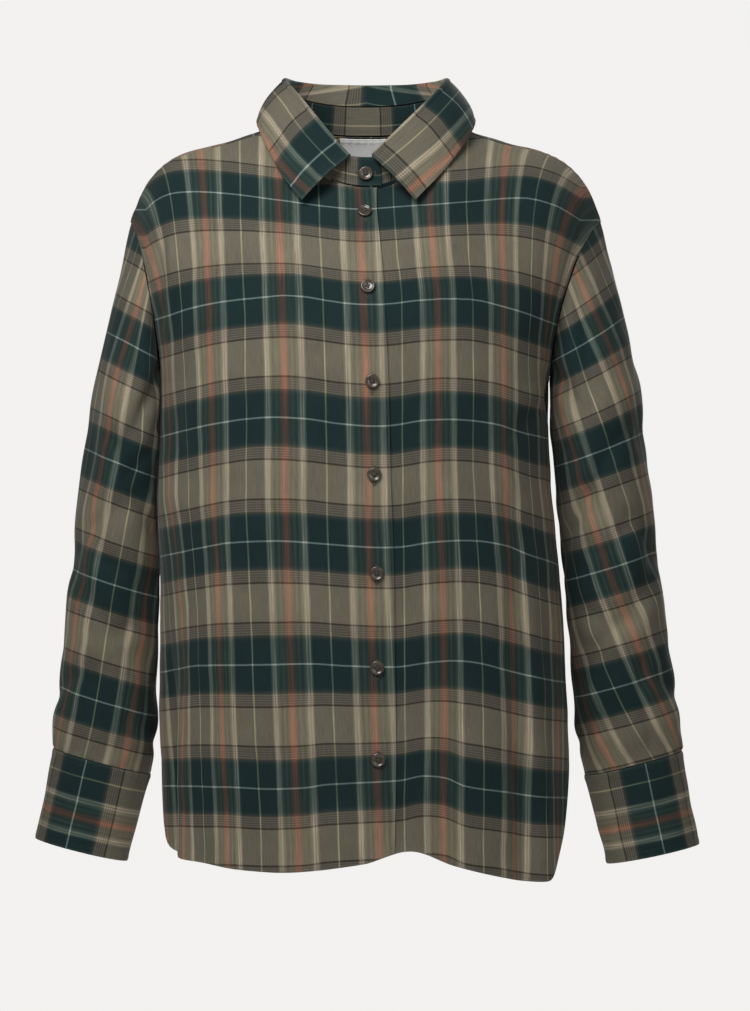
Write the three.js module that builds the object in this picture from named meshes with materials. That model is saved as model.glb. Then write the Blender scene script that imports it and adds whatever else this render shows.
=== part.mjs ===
import * as THREE from 'three';
import { mergeVertices } from 'three/addons/utils/BufferGeometryUtils.js';

// A long-sleeved flannel shirt, filled out and hanging from the nape.
// Millimetres, +Z up, the front faces -Y. "Left" and "right" are the viewer's.
// The origin is the middle of the back neck seam.

const clothThickness = 1.2;
const seamHalfGap = 0.2;
const lapLift = 2.1;
const underarmHeight = -235;
const middleDepth = -60;
const roundness = 2.3;
const lapHalfWidth = 16;
const halfGirthFront = 268;
const middleEase = 0.16;
// The laps narrow by this much towards the neck.
const lapTaper = 5;
// How far the chest and the shoulder blades swell above the underarm.
const swell = { front: 30, back: 26, at: 0.86, reach: 0.22 };
// Folds push the cloth out along this mix of its x and its depth.
const outwardMix = { x: 0.625, y: 1.2 };

// Where the shoulder seam starts and ends, as shares of the half girth from the middle to the side.
const neckShare = { front: 0.29, back: 0.33 };
const tipShare = { front: 0.83, back: 0.925 };
const yokeSeamHeight = -98;
const frontNeckHeight = -60;

const colours = {
  plaid: 0x3f4640,
  label: 0xf2f1ec,
  horn: 0x2a211b,
};

// Body sections from the underarm down: half widths left and right, depths before and behind the middle.
const bodyRows = [
  { z: -235, left: 191, right: 170, front: 142, back: 112 },
  { z: -290, left: 192, right: 170, front: 145, back: 114 },
  { z: -345, left: 194, right: 173, front: 147, back: 114 },
  { z: -400, left: 192, right: 179, front: 147, back: 113 },
  { z: -470, left: 191, right: 184, front: 146, back: 113 },
  { z: -550, left: 191, right: 188, front: 145, back: 113 },
  { z: -620, left: 189, right: 189, front: 144, back: 114 },
  { z: -700, left: 188, right: 190, front: 143, back: 115 },
];

// The line that the fronts hang from. It is the yoke's front seam from w = 0 at the neck to w = 1 at the
// armhole; the rows outside that range only shape the cloth beside it.
const shoulderRows = [
  { w: -0.537, x: 0, y: -100, z: -31 },
  { w: -0.26, x: 40, y: -97, z: -18 },
  { w: 0, x: 77, y: -82, z: 3 },
  { w: 0.19, x: 104, y: -80, z: -6 },
  { w: 0.37, x: 131, y: -78, z: -14 },
  { w: 0.61, x: 166, y: -75, z: -22 },
  { w: 0.76, x: 188, y: -71, z: -33 },
  { w: 0.89, x: 206, y: -65, z: -53 },
  { w: 1, x: 219, y: -58, z: -84 },
  { w: 1.32, x: 238, y: -52, z: -150 },
];

// How far the cloth has turned from upright to level when it reaches that line.
const turnRows = {
  front: [
    { u: 0, degrees: 60 },
    { u: 0.2, degrees: 68 },
    { u: 0.29, degrees: 77 },
    { u: 0.6, degrees: 78 },
    { u: 0.83, degrees: 84 },
    { u: 1, degrees: 80 },
  ],
  back: [
    { u: 0, degrees: 62 },
    { u: 0.15, degrees: 70 },
    { u: 0.27, degrees: 86 },
    { u: 0.36, degrees: 98 },
    { u: 0.6, degrees: 100 },
    { u: 0.8, degrees: 98 },
    { u: 0.925, degrees: 93 },
    { u: 1, degrees: 85 },
  ],
};

// The back neck seam, from the nape round to the shoulder seam.
const backNeck = { halfWidth: 79.4, depth: 66, turn: THREE.MathUtils.degToRad(104) };
const backNeckRows = [
  { share: 0, z: 0 },
  { share: 0.12, z: 0.1 },
  { share: 0.3, z: 1.5 },
  { share: 0.6, z: 6 },
  { share: 0.85, z: 8.5 },
  { share: 1, z: 3 },
];

const hemRows = {
  frontLeft: [
    { u: 0, z: -672 },
    { u: 0.15, z: -678 },
    { u: 0.3, z: -681 },
    { u: 0.45, z: -679 },
    { u: 0.57, z: -675 },
    { u: 0.7, z: -671 },
    { u: 0.85, z: -660 },
    { u: 0.93, z: -615 },
    { u: 1, z: -585 },
  ],
  frontRight: [
    { u: 0, z: -672 },
    { u: 0.15, z: -661 },
    { u: 0.3, z: -675 },
    { u: 0.46, z: -686 },
    { u: 0.6, z: -692 },
    { u: 0.68, z: -690 },
    { u: 0.76, z: -671 },
    { u: 0.87, z: -625 },
    { u: 0.94, z: -600 },
    { u: 1, z: -585 },
  ],
  back: [
    { u: 0, z: -664 },
    { u: 0.4, z: -666 },
    { u: 0.6, z: -661 },
    { u: 0.8, z: -638 },
    { u: 0.92, z: -604 },
    { u: 1, z: -585 },
  ],
};

// The button line wanders to the right on its way down.
const closureRows = [
  { z: -46, x: 0 },
  { z: -83, x: -1 },
  { z: -152, x: 2 },
  { z: -237, x: 6.5 },
  { z: -321, x: 8.4 },
  { z: -410, x: 10.3 },
  { z: -495, x: 10.4 },
  { z: -578, x: 11.1 },
  { z: -690, x: 9 },
];
const buttonHeights = [-83, -152, -237, -321, -410, -495, -578];

// Large folds: u and drift place a fold across the half girth at its top and bottom, reach is its half
// width as a share, and depth is how far it comes out, or goes in where it is negative.
const bodyFolds = [
  { face: 'front', u: 0.5, drift: 0.07, reach: 0.045, depth: -9, top: -330, bottom: -760 },
  { face: 'front', u: 0.62, drift: 0.04, reach: 0.06, depth: 7, top: -380, bottom: -760 },
  { face: 'front', u: -0.66, drift: -0.02, reach: 0.055, depth: 6, top: -420, bottom: -760 },
  { face: 'front', u: -0.77, drift: -0.01, reach: 0.045, depth: -8, top: -400, bottom: -760 },
  { face: 'front', u: -0.33, drift: -0.03, reach: 0.07, depth: -4, top: -470, bottom: -760 },
  { face: 'front', u: 0.24, drift: 0.02, reach: 0.07, depth: -4, top: -480, bottom: -760 },
  { face: 'back', u: -0.5, drift: 0.06, reach: 0.08, depth: 8, top: -160, bottom: -760 },
  { face: 'back', u: -0.3, drift: 0.04, reach: 0.07, depth: -7, top: -240, bottom: -760 },
  { face: 'back', u: 0.1, drift: -0.04, reach: 0.08, depth: 7, top: -200, bottom: -760 },
  { face: 'back', u: 0.36, drift: 0.03, reach: 0.07, depth: -7, top: -280, bottom: -760 },
  { face: 'back', u: 0.62, drift: 0.04, reach: 0.08, depth: 8, top: -180, bottom: -760 },
];

// Sleeve sections down to the cuff seam: centre, lean of the section, half width and half depth.
const sleeveRows = {
  left: [
    { x: 218, y: -58, z: -246, lean: 25, width: 37, depth: 66 },
    { x: 222, y: -54, z: -300, lean: 22, width: 40, depth: 67 },
    { x: 228, y: -50, z: -355, lean: 20, width: 43, depth: 64 },
    { x: 234, y: -47, z: -410, lean: 18, width: 43, depth: 61 },
    { x: 238, y: -46, z: -460, lean: 17, width: 45, depth: 57 },
    { x: 241, y: -45, z: -510, lean: 17, width: 47, depth: 53 },
    { x: 244, y: -45, z: -555, lean: 16, width: 50, depth: 47 },
    { x: 247.5, y: -45, z: -588, lean: 15, width: 46.5, depth: 39 },
  ],
  right: [
    { x: 213, y: -58, z: -250, lean: 25, width: 45, depth: 66 },
    { x: 218, y: -54, z: -300, lean: 20, width: 44, depth: 67 },
    { x: 224, y: -50, z: -355, lean: 18, width: 45.5, depth: 64 },
    { x: 230, y: -47, z: -410, lean: 17, width: 46, depth: 61 },
    { x: 235.5, y: -46, z: -460, lean: 16, width: 46.5, depth: 57 },
    { x: 240, y: -45, z: -510, lean: 16, width: 48, depth: 53 },
    { x: 246, y: -45, z: -555, lean: 15, width: 50, depth: 47 },
    { x: 250.5, y: -45, z: -590, lean: 14, width: 46.5, depth: 39 },
  ],
};
const cuffRows = {
  left: [
    { x: 247.7, y: -45, z: -588.7, lean: 15, width: 46.5, depth: 39 },
    { x: 257.5, y: -46, z: -631, lean: 15, width: 44.5, depth: 36 },
    { x: 267, y: -47, z: -671, lean: 14, width: 43.5, depth: 35 },
  ],
  right: [
    { x: 250.7, y: -45, z: -590.7, lean: 14, width: 46.5, depth: 39 },
    { x: 260, y: -46, z: -634, lean: 13, width: 44.5, depth: 36 },
    { x: 269, y: -47, z: -675, lean: 12, width: 43.5, depth: 35 },
  ],
};
// Creases round a sleeve: along is the place from armhole 0 to cuff 1, around the direction in degrees
// from the outer side towards the front, slope how fast the crease climbs.
const sleeveFolds = [
  { along: 0.34, around: 120, reachAlong: 0.035, reachAround: 60, slope: 0.12, depth: -6 },
  { along: 0.42, around: 60, reachAlong: 0.04, reachAround: 70, slope: -0.1, depth: -5 },
  { along: 0.56, around: 280, reachAlong: 0.035, reachAround: 70, slope: 0.1, depth: -6 },
  { along: 0.63, around: 100, reachAlong: 0.04, reachAround: 80, slope: 0.08, depth: -4 },
  { along: 0.8, around: 30, reachAlong: 0.035, reachAround: 80, slope: -0.08, depth: -4 },
  { along: 0.9, around: 200, reachAlong: 0.035, reachAround: 90, slope: 0.05, depth: -4 },
];
const sleeveClearance = 4;
const underarmSpread = 2;

// The stand is a band on the neck seam. Places on it are shares from the nape, 0, to the front, 1 and -1;
// its ends run on to lap there.
const standHeight = 26;
const standLean = 0.16;
const standFootGap = 1.9;
const standEnd = 1.05;
const standLapStart = 0.86;
const standLapFull = 0.95;
const standSpread = 78;
const standCorner = 9;
const standCornerFloor = 0.3;
const backNeckPart = 0.56;
// The neck seam rises this much per millimetre along a front's lap.
const lapRise = 0.02;

// Half of the collar leaf from the middle of the back, share 0, to the front end, share 1. roll is the
// fold line on top, and edge is the leaf's outer edge.
const leafRows = [
  { share: 0, rollX: 0, rollY: 6, rollZ: 47, edgeX: 0, edgeY: 27, edgeZ: -13 },
  { share: 0.2, rollX: 38, rollY: 0, rollZ: 47, edgeX: 48, edgeY: 18, edgeZ: -9 },
  { share: 0.38, rollX: 66, rollY: -22, rollZ: 48, edgeX: 84, edgeY: -14, edgeZ: 3 },
  { share: 0.52, rollX: 76, rollY: -52, rollZ: 48, edgeX: 99, edgeY: -54, edgeZ: 11 },
  { share: 0.66, rollX: 69, rollY: -84, rollZ: 36, edgeX: 99, edgeY: -96, edgeZ: 0 },
  { share: 0.84, rollX: 43, rollY: -120, rollZ: 7, edgeX: 79, edgeY: -139, edgeZ: -35 },
  { share: 1, rollX: 14, rollY: -142, rollZ: -24, edgeX: 53, edgeY: -163, edgeZ: -66 },
];

const leafReach = 0.95;
const leafFootGap = 1.2;
const leafBulge = 9;
const leafBulgeLift = 2.7;
const rollRadius = 2.6;
// Rows of the leaf, from its seam inside the neck over the roll to its edge.
const leafRollStart = 0.2;
const leafRollEnd = 0.3;
const leafFalls = [0, 0.1, 0.2, 0.235, 0.265, 0.3, 0.42, 0.56, 0.7, 0.85, 1];
const leafColumns = 34;

const button = { radius: 6.5, thickness: 2.6, rim: 1.4, dish: 0.7 };
const label = {
  left: -24, right: 29, drop: 34, thickness: 1, gap: 0.8, yokeLength: 112, top: 0.985, stretch: 1.08,
};
const placket = { top: 0.78, bottom: 0.985, thickness: 1, gap: 0.4 };
const cuffLapHalfTurn = 0.22;
const buttonGap = 0.6;
const buttonSides = 14;

const frontColumns = 16;
const neckRowCount = 6;
const chestRowCount = 7;
const skirtRowCount = 11;
const backColumns = 26;
const backUpperRowCount = 6;
const yokeNeckColumns = 7;
const yokeRowCount = 7;
const sleeveSteps = [
  0, 0.03, 0.07, 0.125, 0.19, 0.25, 0.32, 0.38, 0.44, 0.5, 0.56, 0.63, 0.7, 0.78, 0.86, 0.93, 0.985, 1,
];
const cuffColumns = 24;
const cuffRowCount = 3;
const standEndColumns = 3;
const standRowCount = 3;

function mixRows(rows, key, at, column) {
  // A smooth curve through the table's rows, straight past its ends.
  const last = rows.length - 1;
  let i = 0;
  while (i < last - 1 && (rows[i + 1][key] - at) * Math.sign(rows[last][key] - rows[0][key]) < 0) {
    i += 1;
  }
  const a = rows[i];
  const b = rows[i + 1];
  const span = b[key] - a[key];
  const t = (at - a[key]) / span;
  const slope = (b[column] - a[column]) / span;
  const before = i > 0 ? (b[column] - rows[i - 1][column]) / (b[key] - rows[i - 1][key]) : slope;
  const after = i < last - 1 ? (rows[i + 2][column] - a[column]) / (rows[i + 2][key] - a[key]) : slope;
  if (t < 0) return a[column] + before * (at - a[key]);
  if (t > 1) return b[column] + after * (at - b[key]);
  const t2 = t * t;
  const t3 = t2 * t;
  return (2 * t3 - 3 * t2 + 1) * a[column] + (t3 - 2 * t2 + t) * span * before
    + (3 * t2 - 2 * t3) * b[column] + (t3 - t2) * span * after;
}

function smoothStep(from, to, value) {
  return THREE.MathUtils.smoothstep(value, from, to);
}

function bell(distance, reach) {
  return Math.exp(-((distance / reach) ** 2));
}

// The distance from the middle line as a share, rounded off so that nothing creases there.
function easedShare(u) {
  const share = Math.abs(u);
  return share > middleEase ? share : share ** 2 / (2 * middleEase) + middleEase / 2;
}

function sectionOffset(angle, halfWidth, depth) {
  const power = 2 / roundness;
  return { x: halfWidth * Math.sin(angle) ** power, y: depth * Math.cos(angle) ** power };
}

// Angles at even steps of girth, so that a share of the half girth gives an angle.
function evenGirthAngles(halfWidth, depth) {
  const steps = 400;
  const lengths = [0];
  let before = sectionOffset(0, halfWidth, depth);
  for (let i = 1; i <= steps; i += 1) {
    const here = sectionOffset((i / steps) * Math.PI / 2, halfWidth, depth);
    lengths.push(lengths[i - 1] + Math.hypot(here.x - before.x, here.y - before.y));
    before = here;
  }
  return (share) => {
    const wanted = Math.min(Math.max(share, 0), 1) * lengths[steps];
    let i = 1;
    while (i < steps && lengths[i] < wanted) {
      i += 1;
    }
    const part = (wanted - lengths[i - 1]) / (lengths[i] - lengths[i - 1]);
    return ((i - 1 + part) / steps) * Math.PI / 2;
  };
}
const angleAt = { front: evenGirthAngles(186, 145), back: evenGirthAngles(186, 113) };

function hemHeight(face, u) {
  const rows = face === 'back' ? hemRows.back : u < 0 ? hemRows.frontLeft : hemRows.frontRight;
  return mixRows(rows, 'u', Math.abs(u), 'z');
}

function bodySection(face, u, z) {
  const side = u < 0 ? -1 : 1;
  const halfWidth = mixRows(bodyRows, 'z', z, side < 0 ? 'left' : 'right');
  const depth = mixRows(bodyRows, 'z', z, face);
  const angle = angleAt[face](Math.abs(u));
  const offset = sectionOffset(angle, halfWidth, depth);
  const facing = face === 'front' ? -1 : 1;
  return new THREE.Vector3(side * offset.x, middleDepth + facing * offset.y, z);
}

function foldPush(face, u, z) {
  let push = 0;
  for (const fold of bodyFolds) {
    if (fold.face !== face || z > fold.top) continue;
    const down = (fold.top - z) / (fold.top - fold.bottom);
    const swell = smoothStep(0, 0.55, down);
    push += fold.depth * swell * bell(u - fold.u - fold.drift * down, fold.reach);
  }
  return push * (1 - smoothStep(0.9, 1, Math.abs(u)));
}

function topPoint(face, u) {
  const side = u < 0 ? -1 : 1;
  const share = Math.abs(u);
  if (face === 'back' && share < neckShare.back) {
    const turn = (share / neckShare.back) * backNeck.turn;
    return new THREE.Vector3(
      side * backNeck.halfWidth * Math.sin(turn),
      -backNeck.depth * (1 - Math.cos(turn)),
      mixRows(backNeckRows, 'share', share / neckShare.back, 'z'),
    );
  }
  const span = tipShare[face] - neckShare[face];
  const w = (share - neckShare[face]) / span;
  const eased = (easedShare(u) - neckShare[face]) / span;
  return new THREE.Vector3(
    side * mixRows(shoulderRows, 'w', w, 'x'),
    mixRows(shoulderRows, 'w', eased, 'y'),
    mixRows(shoulderRows, 'w', eased, 'z'),
  );
}

function turnAt(face, u) {
  return THREE.MathUtils.degToRad(mixRows(turnRows[face], 'u', easedShare(u), 'degrees'));
}

function foldDirection(point) {
  const depth = point.y - middleDepth;
  return new THREE.Vector3(point.x * outwardMix.x, depth * outwardMix.y, 0).normalize();
}

// A point of the body. level runs from -1 at the hem by 0 at the underarm to 1 at the shoulder line.
function bodyPoint(face, u, level) {
  const facing = face === 'front' ? -1 : 1;
  if (level <= 0) {
    const z = underarmHeight - level * (hemHeight(face, u) - underarmHeight);
    const point = bodySection(face, u, z);
    return point.addScaledVector(foldDirection(point), foldPush(face, u, z));
  }
  const base = bodySection(face, u, underarmHeight);
  const top = topPoint(face, u);
  const turn = turnAt(face, u);
  const across = (1 - Math.cos(level * turn)) / (1 - Math.cos(turn));
  const up = Math.sin(level * turn) / Math.sin(turn);
  const fullness = Math.sin(Math.PI * level) * bell(Math.abs(u) - swell.at, swell.reach);
  const point = new THREE.Vector3(
    base.x + (top.x - base.x) * across,
    base.y + (top.y - base.y) * across + facing * swell[face] * fullness,
    base.z + (top.z - base.z) * up,
  );
  return point.addScaledVector(foldDirection(point), foldPush(face, u, point.z));
}

function levelAtHeight(face, u, z) {
  const turn = turnAt(face, u);
  const rise = (z - underarmHeight) / (topPoint(face, u).z - underarmHeight);
  return Math.asin(Math.min(rise * Math.sin(turn), 1)) / turn;
}

const frontNeckLevel = levelAtHeight('front', 0, frontNeckHeight);
const armholePower = 0.55;

function armholeShare(face, level) {
  if (level <= 0) return 1;
  if (face === 'front') return 1 - (1 - tipShare.front) * level ** armholePower;
  const seamLevel = levelAtHeight('back', tipShare.back, yokeSeamHeight);
  return 1 - (1 - tipShare.back) * Math.min(level / seamLevel, 1) ** armholePower;
}

function closureX(z) {
  return mixRows(closureRows, 'z', z, 'x');
}

// The direction square to a surface at one place on it, by small steps both ways.
function squareTo(pointAt, [a, b]) {
  const step = 0.004;
  const first = pointAt(a + step, b).sub(pointAt(a - step, b));
  const second = pointAt(a, b + step).sub(pointAt(a, b - step));
  return first.cross(second).normalize();
}

// A wall of even thickness along a surface. The grid holds places on the surface in rows of equal length,
// and a closed grid's rows run round into a tube.
function wallGeometry(grid, pointAt, thickness, closed = false, inset = seamHalfGap) {
  const rows = grid.length;
  const columns = grid[0].length;
  const middle = grid.map((row) => row.map((place) => pointAt(...place)));
  const points = middle.map((row) => row.map((p) => p.clone()));
  const pull = (point, from, towards) => {
    point.addScaledVector(towards.clone().sub(from).normalize(), inset);
  };
  for (let j = 0; j < columns; j += 1) {
    pull(points[0][j], middle[0][j], middle[1][j]);
    pull(points[rows - 1][j], middle[rows - 1][j], middle[rows - 2][j]);
  }
  for (let i = 0; i < rows && !closed; i += 1) {
    pull(points[i][0], middle[i][0], middle[i][1]);
    pull(points[i][columns - 1], middle[i][columns - 1], middle[i][columns - 2]);
  }
  const i0 = (rows >> 1) - 1;
  const j0 = (columns >> 1) - 1;
  const across = middle[i0][j0 + 1].clone().sub(middle[i0][j0]);
  const down = middle[i0 + 1][j0].clone().sub(middle[i0][j0]);
  const facing = Math.sign(down.cross(across).dot(squareTo(pointAt, grid[i0][j0])));
  const positions = [];
  for (const side of [1, -1]) {
    for (let i = 0; i < rows; i += 1) {
      for (let j = 0; j < columns; j += 1) {
        const normal = squareTo(pointAt, grid[i][j]);
        const offset = (side * facing * thickness) / 2;
        positions.push(...points[i][j].clone().addScaledVector(normal, offset).toArray());
      }
    }
  }
  const layer = rows * columns;
  const index = [];
  const quad = (a, b, c, d) => index.push(a, b, c, a, c, d);
  const span = closed ? columns : columns - 1;
  const id = (side, i, j) => side * layer + i * columns + (j % columns);
  for (let i = 0; i < rows - 1; i += 1) {
    for (let j = 0; j < span; j += 1) {
      quad(id(0, i, j), id(0, i + 1, j), id(0, i + 1, j + 1), id(0, i, j + 1));
      quad(id(1, i, j), id(1, i, j + 1), id(1, i + 1, j + 1), id(1, i + 1, j));
    }
  }
  for (let j = 0; j < span; j += 1) {
    quad(id(0, 0, j), id(0, 0, j + 1), id(1, 0, j + 1), id(1, 0, j));
    quad(id(0, rows - 1, j), id(1, rows - 1, j), id(1, rows - 1, j + 1), id(0, rows - 1, j + 1));
  }
  if (!closed) {
    const end = columns - 1;
    for (let i = 0; i < rows - 1; i += 1) {
      quad(id(0, i, 0), id(1, i, 0), id(1, i + 1, 0), id(0, i + 1, 0));
      quad(id(0, i, end), id(0, i + 1, end), id(1, i + 1, end), id(1, i, end));
    }
  }
  const geometry = new THREE.BufferGeometry();
  geometry.setAttribute('position', new THREE.Float32BufferAttribute(positions, 3));
  geometry.setIndex(index);
  return geometry;
}

const shirt = new THREE.Group();

function addPiece(name, geometry, colour, roughness = 0.9) {
  geometry.computeVertexNormals();
  const material = new THREE.MeshStandardMaterial({ color: colour, roughness, metalness: 0 });
  const mesh = new THREE.Mesh(geometry, material);
  mesh.name = name;
  shirt.add(mesh);
  return mesh;
}

function evenSteps(from, to, count) {
  return Array.from({ length: count + 1 }, (_, i) => from + ((to - from) * i) / count);
}

// How far the over front lifts to lie on the under one.
function lapPush(point, level) {
  const lift = lapLift * smoothStep(-lapHalfWidth - 24, -lapHalfWidth - 4, point.x - closureX(point.z));
  const turn = Math.max(level, 0) * turnAt('front', 0);
  return new THREE.Vector3(0, -Math.cos(turn), Math.sin(turn)).multiplyScalar(lift);
}

function frontEdgeShare(side, level) {
  const z = bodyPoint('front', 0, level).z;
  const lap = lapHalfWidth - lapTaper * smoothStep(-150, -60, z);
  return (closureX(z) - side * lap) / halfGirthFront;
}

function frontPoint(side, u, level) {
  const point = bodyPoint('front', u, level);
  return side < 0 ? point.add(lapPush(point, level)) : point;
}

// The armhole's level at a turn round it: turn 0 at the shoulder, PI underarm.
function levelAtTurn(turn) {
  return (1 + Math.cos(turn)) / 2;
}

// Turns of the armhole's corners, which the panels and the sleeve share.
const frontTurns = evenSteps(0, Math.PI, neckRowCount + chestRowCount);
const yokeTurn = Math.acos(2 * levelAtHeight('back', tipShare.back, yokeSeamHeight) - 1);
const backTurns = evenSteps(yokeTurn, Math.PI, backUpperRowCount);
const yokeTurns = evenSteps(0, yokeTurn, yokeRowCount);

// The cuff's slit opens at the back of the sleeve, and its strip covers one stretch between corners.
const slitTurns = [2 * Math.PI - backTurns[2], 2 * Math.PI - backTurns[1]];
const slitTurn = (slitTurns[0] + slitTurns[1]) / 2;

// Rows of a front from the shoulder line down to the hem, each from its left end to its right end.
function frontPanel(side) {
  const rows = [];
  const addRow = (innerShare, innerLevel, outerLevel) => {
    const outerShare = side * armholeShare('front', outerLevel);
    const row = evenSteps(0, 1, frontColumns).map((t) => {
      const u = innerShare + (outerShare - innerShare) * t;
      return [u, innerLevel + (outerLevel - innerLevel) * t];
    });
    rows.push(side < 0 ? row.reverse() : row);
  };
  frontTurns.forEach((turn, i) => {
    const outerLevel = levelAtTurn(turn);
    if (i < neckRowCount) {
      const neckTurn = (Math.PI / 2) * (1 - i / neckRowCount);
      const innerLevel = 1 - (1 - frontNeckLevel) * Math.cos(neckTurn);
      addRow(side * neckShare.front * Math.sin(neckTurn), innerLevel, outerLevel);
    } else {
      const innerLevel = frontNeckLevel * (1 - (i - neckRowCount) / chestRowCount);
      addRow(frontEdgeShare(side, innerLevel), innerLevel, outerLevel);
    }
  });
  for (const level of evenSteps(0, -1, skirtRowCount).slice(1)) {
    addRow(frontEdgeShare(side, level), level, level);
  }
  return wallGeometry(rows, (u, level) => frontPoint(side, u, level), clothThickness);
}

// The back hangs from the yoke's back seam; its rows run from right to left, as seen from the front.
function backPanel() {
  const rows = [];
  const addRow = (levelOf, reach) => {
    rows.push(evenSteps(reach, -reach, backColumns).map((u) => [u, levelOf(u)]));
  };
  const edgeSeamLevel = levelAtTurn(yokeTurn);
  for (const turn of backTurns) {
    const share = levelAtTurn(turn) / edgeSeamLevel;
    const reach = armholeShare('back', levelAtTurn(turn));
    addRow((u) => share * levelAtHeight('back', Math.min(Math.abs(u), tipShare.back), yokeSeamHeight), reach);
  }
  for (const level of evenSteps(0, -1, skirtRowCount).slice(1)) {
    addRow(() => level, 1);
  }
  return wallGeometry(rows, (u, level) => bodyPoint('back', u, level), clothThickness);
}

function yokePoint(u, share) {
  const seamLevel = levelAtHeight('back', u, yokeSeamHeight);
  return bodyPoint('back', u, seamLevel + (1 - seamLevel) * share);
}

function yokePanel() {
  const shares = [
    ...evenSteps(tipShare.back, neckShare.back, frontColumns),
    ...evenSteps(neckShare.back, 0, yokeNeckColumns).slice(1),
  ];
  const across = [...shares, ...shares.slice(0, -1).reverse().map((u) => -u)];
  const seamLevel = levelAtTurn(yokeTurn);
  const rows = yokeTurns.map((turn) => {
    const share = (levelAtTurn(turn) - seamLevel) / (1 - seamLevel);
    return across.map((u) => [u, share]);
  });
  return wallGeometry(rows, yokePoint, clothThickness, false, 2.5 * seamHalfGap);
}

// The armhole as a loop: turn 0 at the shoulder, a quarter turn on the front, a half turn underarm.
function armholePoint(side, turn) {
  const level = levelAtTurn(turn);
  const face = Math.sin(turn) >= 0 ? 'front' : 'back';
  return bodyPoint(face, side * armholeShare(face, level), level);
}

function tubePoint(side, row, turn) {
  const lean = THREE.MathUtils.degToRad(row.lean);
  const out = row.width * Math.cos(turn);
  return new THREE.Vector3(
    side * (row.x + out * Math.cos(lean)),
    row.y - row.depth * Math.sin(turn),
    row.z + out * Math.sin(lean),
  );
}

// Keeps a sleeve point outside the body.
function clearOfBody(side, point, clearance) {
  const z = Math.min(point.z, underarmHeight);
  const halfWidth = mixRows(bodyRows, 'z', z, side < 0 ? 'left' : 'right');
  const reach = point.y - middleDepth;
  const depth = mixRows(bodyRows, 'z', z, reach < 0 ? 'front' : 'back') + 8;
  const inside = Math.max(1 - Math.abs(reach / depth) ** roundness, 0);
  const least = halfWidth * inside ** (1 / roundness) + clearance;
  if (side * point.x < least) point.x = side * least;
  return point;
}

function sleeveFoldPush(along, turn) {
  let push = 0;
  for (const fold of sleeveFolds) {
    const round = Math.atan2(
      Math.sin(turn - THREE.MathUtils.degToRad(fold.around)),
      Math.cos(turn - THREE.MathUtils.degToRad(fold.around)),
    );
    const climb = along - fold.along - fold.slope * round;
    const reachAround = THREE.MathUtils.degToRad(fold.reachAround);
    push += fold.depth * bell(climb, fold.reachAlong) * bell(round, reachAround);
  }
  return push;
}

// A point of a sleeve, along from 0 at the armhole to 1 at the cuff seam.
function sleevePoint(side, along, turn) {
  const table = side < 0 ? sleeveRows.left : sleeveRows.right;
  const place = along * table.length;
  const index = Math.min(Math.max(Math.floor(place), 0), table.length - 1);
  const start = armholePoint(side, turn);
  start.x += side * underarmSpread * smoothStep(0.1, 0.4, (1 - Math.cos(turn)) / 2);
  const ring = (k) => (k <= 0 ? start.clone() : tubePoint(side, table[k - 1], turn));
  const t = place - index;
  const b = ring(index);
  const c = ring(index + 1);
  const a = index > 0 ? ring(index - 1) : b.clone().multiplyScalar(2).sub(c);
  const d = index + 2 <= table.length ? ring(index + 2) : c.clone().multiplyScalar(2).sub(b);
  const point = new THREE.Vector3();
  for (const axis of ['x', 'y', 'z']) {
    const before = index > 0 ? (c[axis] - a[axis]) / 2 : (c[axis] - b[axis]);
    const after = (d[axis] - b[axis]) / 2;
    point[axis] = (2 * t ** 3 - 3 * t ** 2 + 1) * b[axis] + (t ** 3 - 2 * t ** 2 + t) * before
      + (3 * t ** 2 - 2 * t ** 3) * c[axis] + (t ** 3 - t ** 2) * after;
  }
  const lean = THREE.MathUtils.degToRad(table[0].lean);
  const outward = new THREE.Vector3(side * Math.cos(turn) * Math.cos(lean), -Math.sin(turn), 0);
  point.addScaledVector(outward, sleeveFoldPush(along, turn) * smoothStep(0, 0.25, along));
  const clearance = underarmSpread + (sleeveClearance - underarmSpread) * smoothStep(0, 0.1, along);
  return clearOfBody(side, point, clearance);
}

function sleeveTube(side) {
  const behind = [...yokeTurns, ...backTurns.slice(1)].slice(1, -1).map((turn) => 2 * Math.PI - turn);
  const turns = [...frontTurns, ...behind.reverse()];
  const ordered = side < 0 ? turns : turns.reverse();
  const rows = sleeveSteps.map((along) => ordered.map((turn) => [along, turn]));
  return wallGeometry(rows, (along, turn) => sleevePoint(side, along, turn), clothThickness, true);
}

function cuffPoint(side, along, turn) {
  const table = side < 0 ? cuffRows.left : cuffRows.right;
  const place = along * (table.length - 1);
  const index = Math.min(Math.max(Math.floor(place), 0), table.length - 2);
  const upper = tubePoint(side, table[index], turn);
  return upper.lerp(tubePoint(side, table[index + 1], turn), place - index);
}

// A cuff is a band whose ends lap at the back of the wrist.
function cuffWallPoint(side, along, turn) {
  const end = slitTurn + 2 * Math.PI + cuffLapHalfTurn;
  const lift = lapLift * smoothStep(end - 5 * cuffLapHalfTurn, end - 2.2 * cuffLapHalfTurn, turn);
  const outward = new THREE.Vector3(side * Math.cos(turn), -Math.sin(turn), 0);
  return cuffPoint(side, along, turn).addScaledVector(outward, lift);
}

function cuffBand(side) {
  const start = slitTurn - cuffLapHalfTurn;
  const end = slitTurn + 2 * Math.PI + cuffLapHalfTurn;
  const turns = evenSteps(start, end, cuffColumns);
  const ordered = side < 0 ? turns : turns.reverse();
  const rows = evenSteps(0, 1, cuffRowCount).map((along) => ordered.map((turn) => [along, turn]));
  return wallGeometry(rows, (along, turn) => cuffWallPoint(side, along, turn), clothThickness);
}

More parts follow.
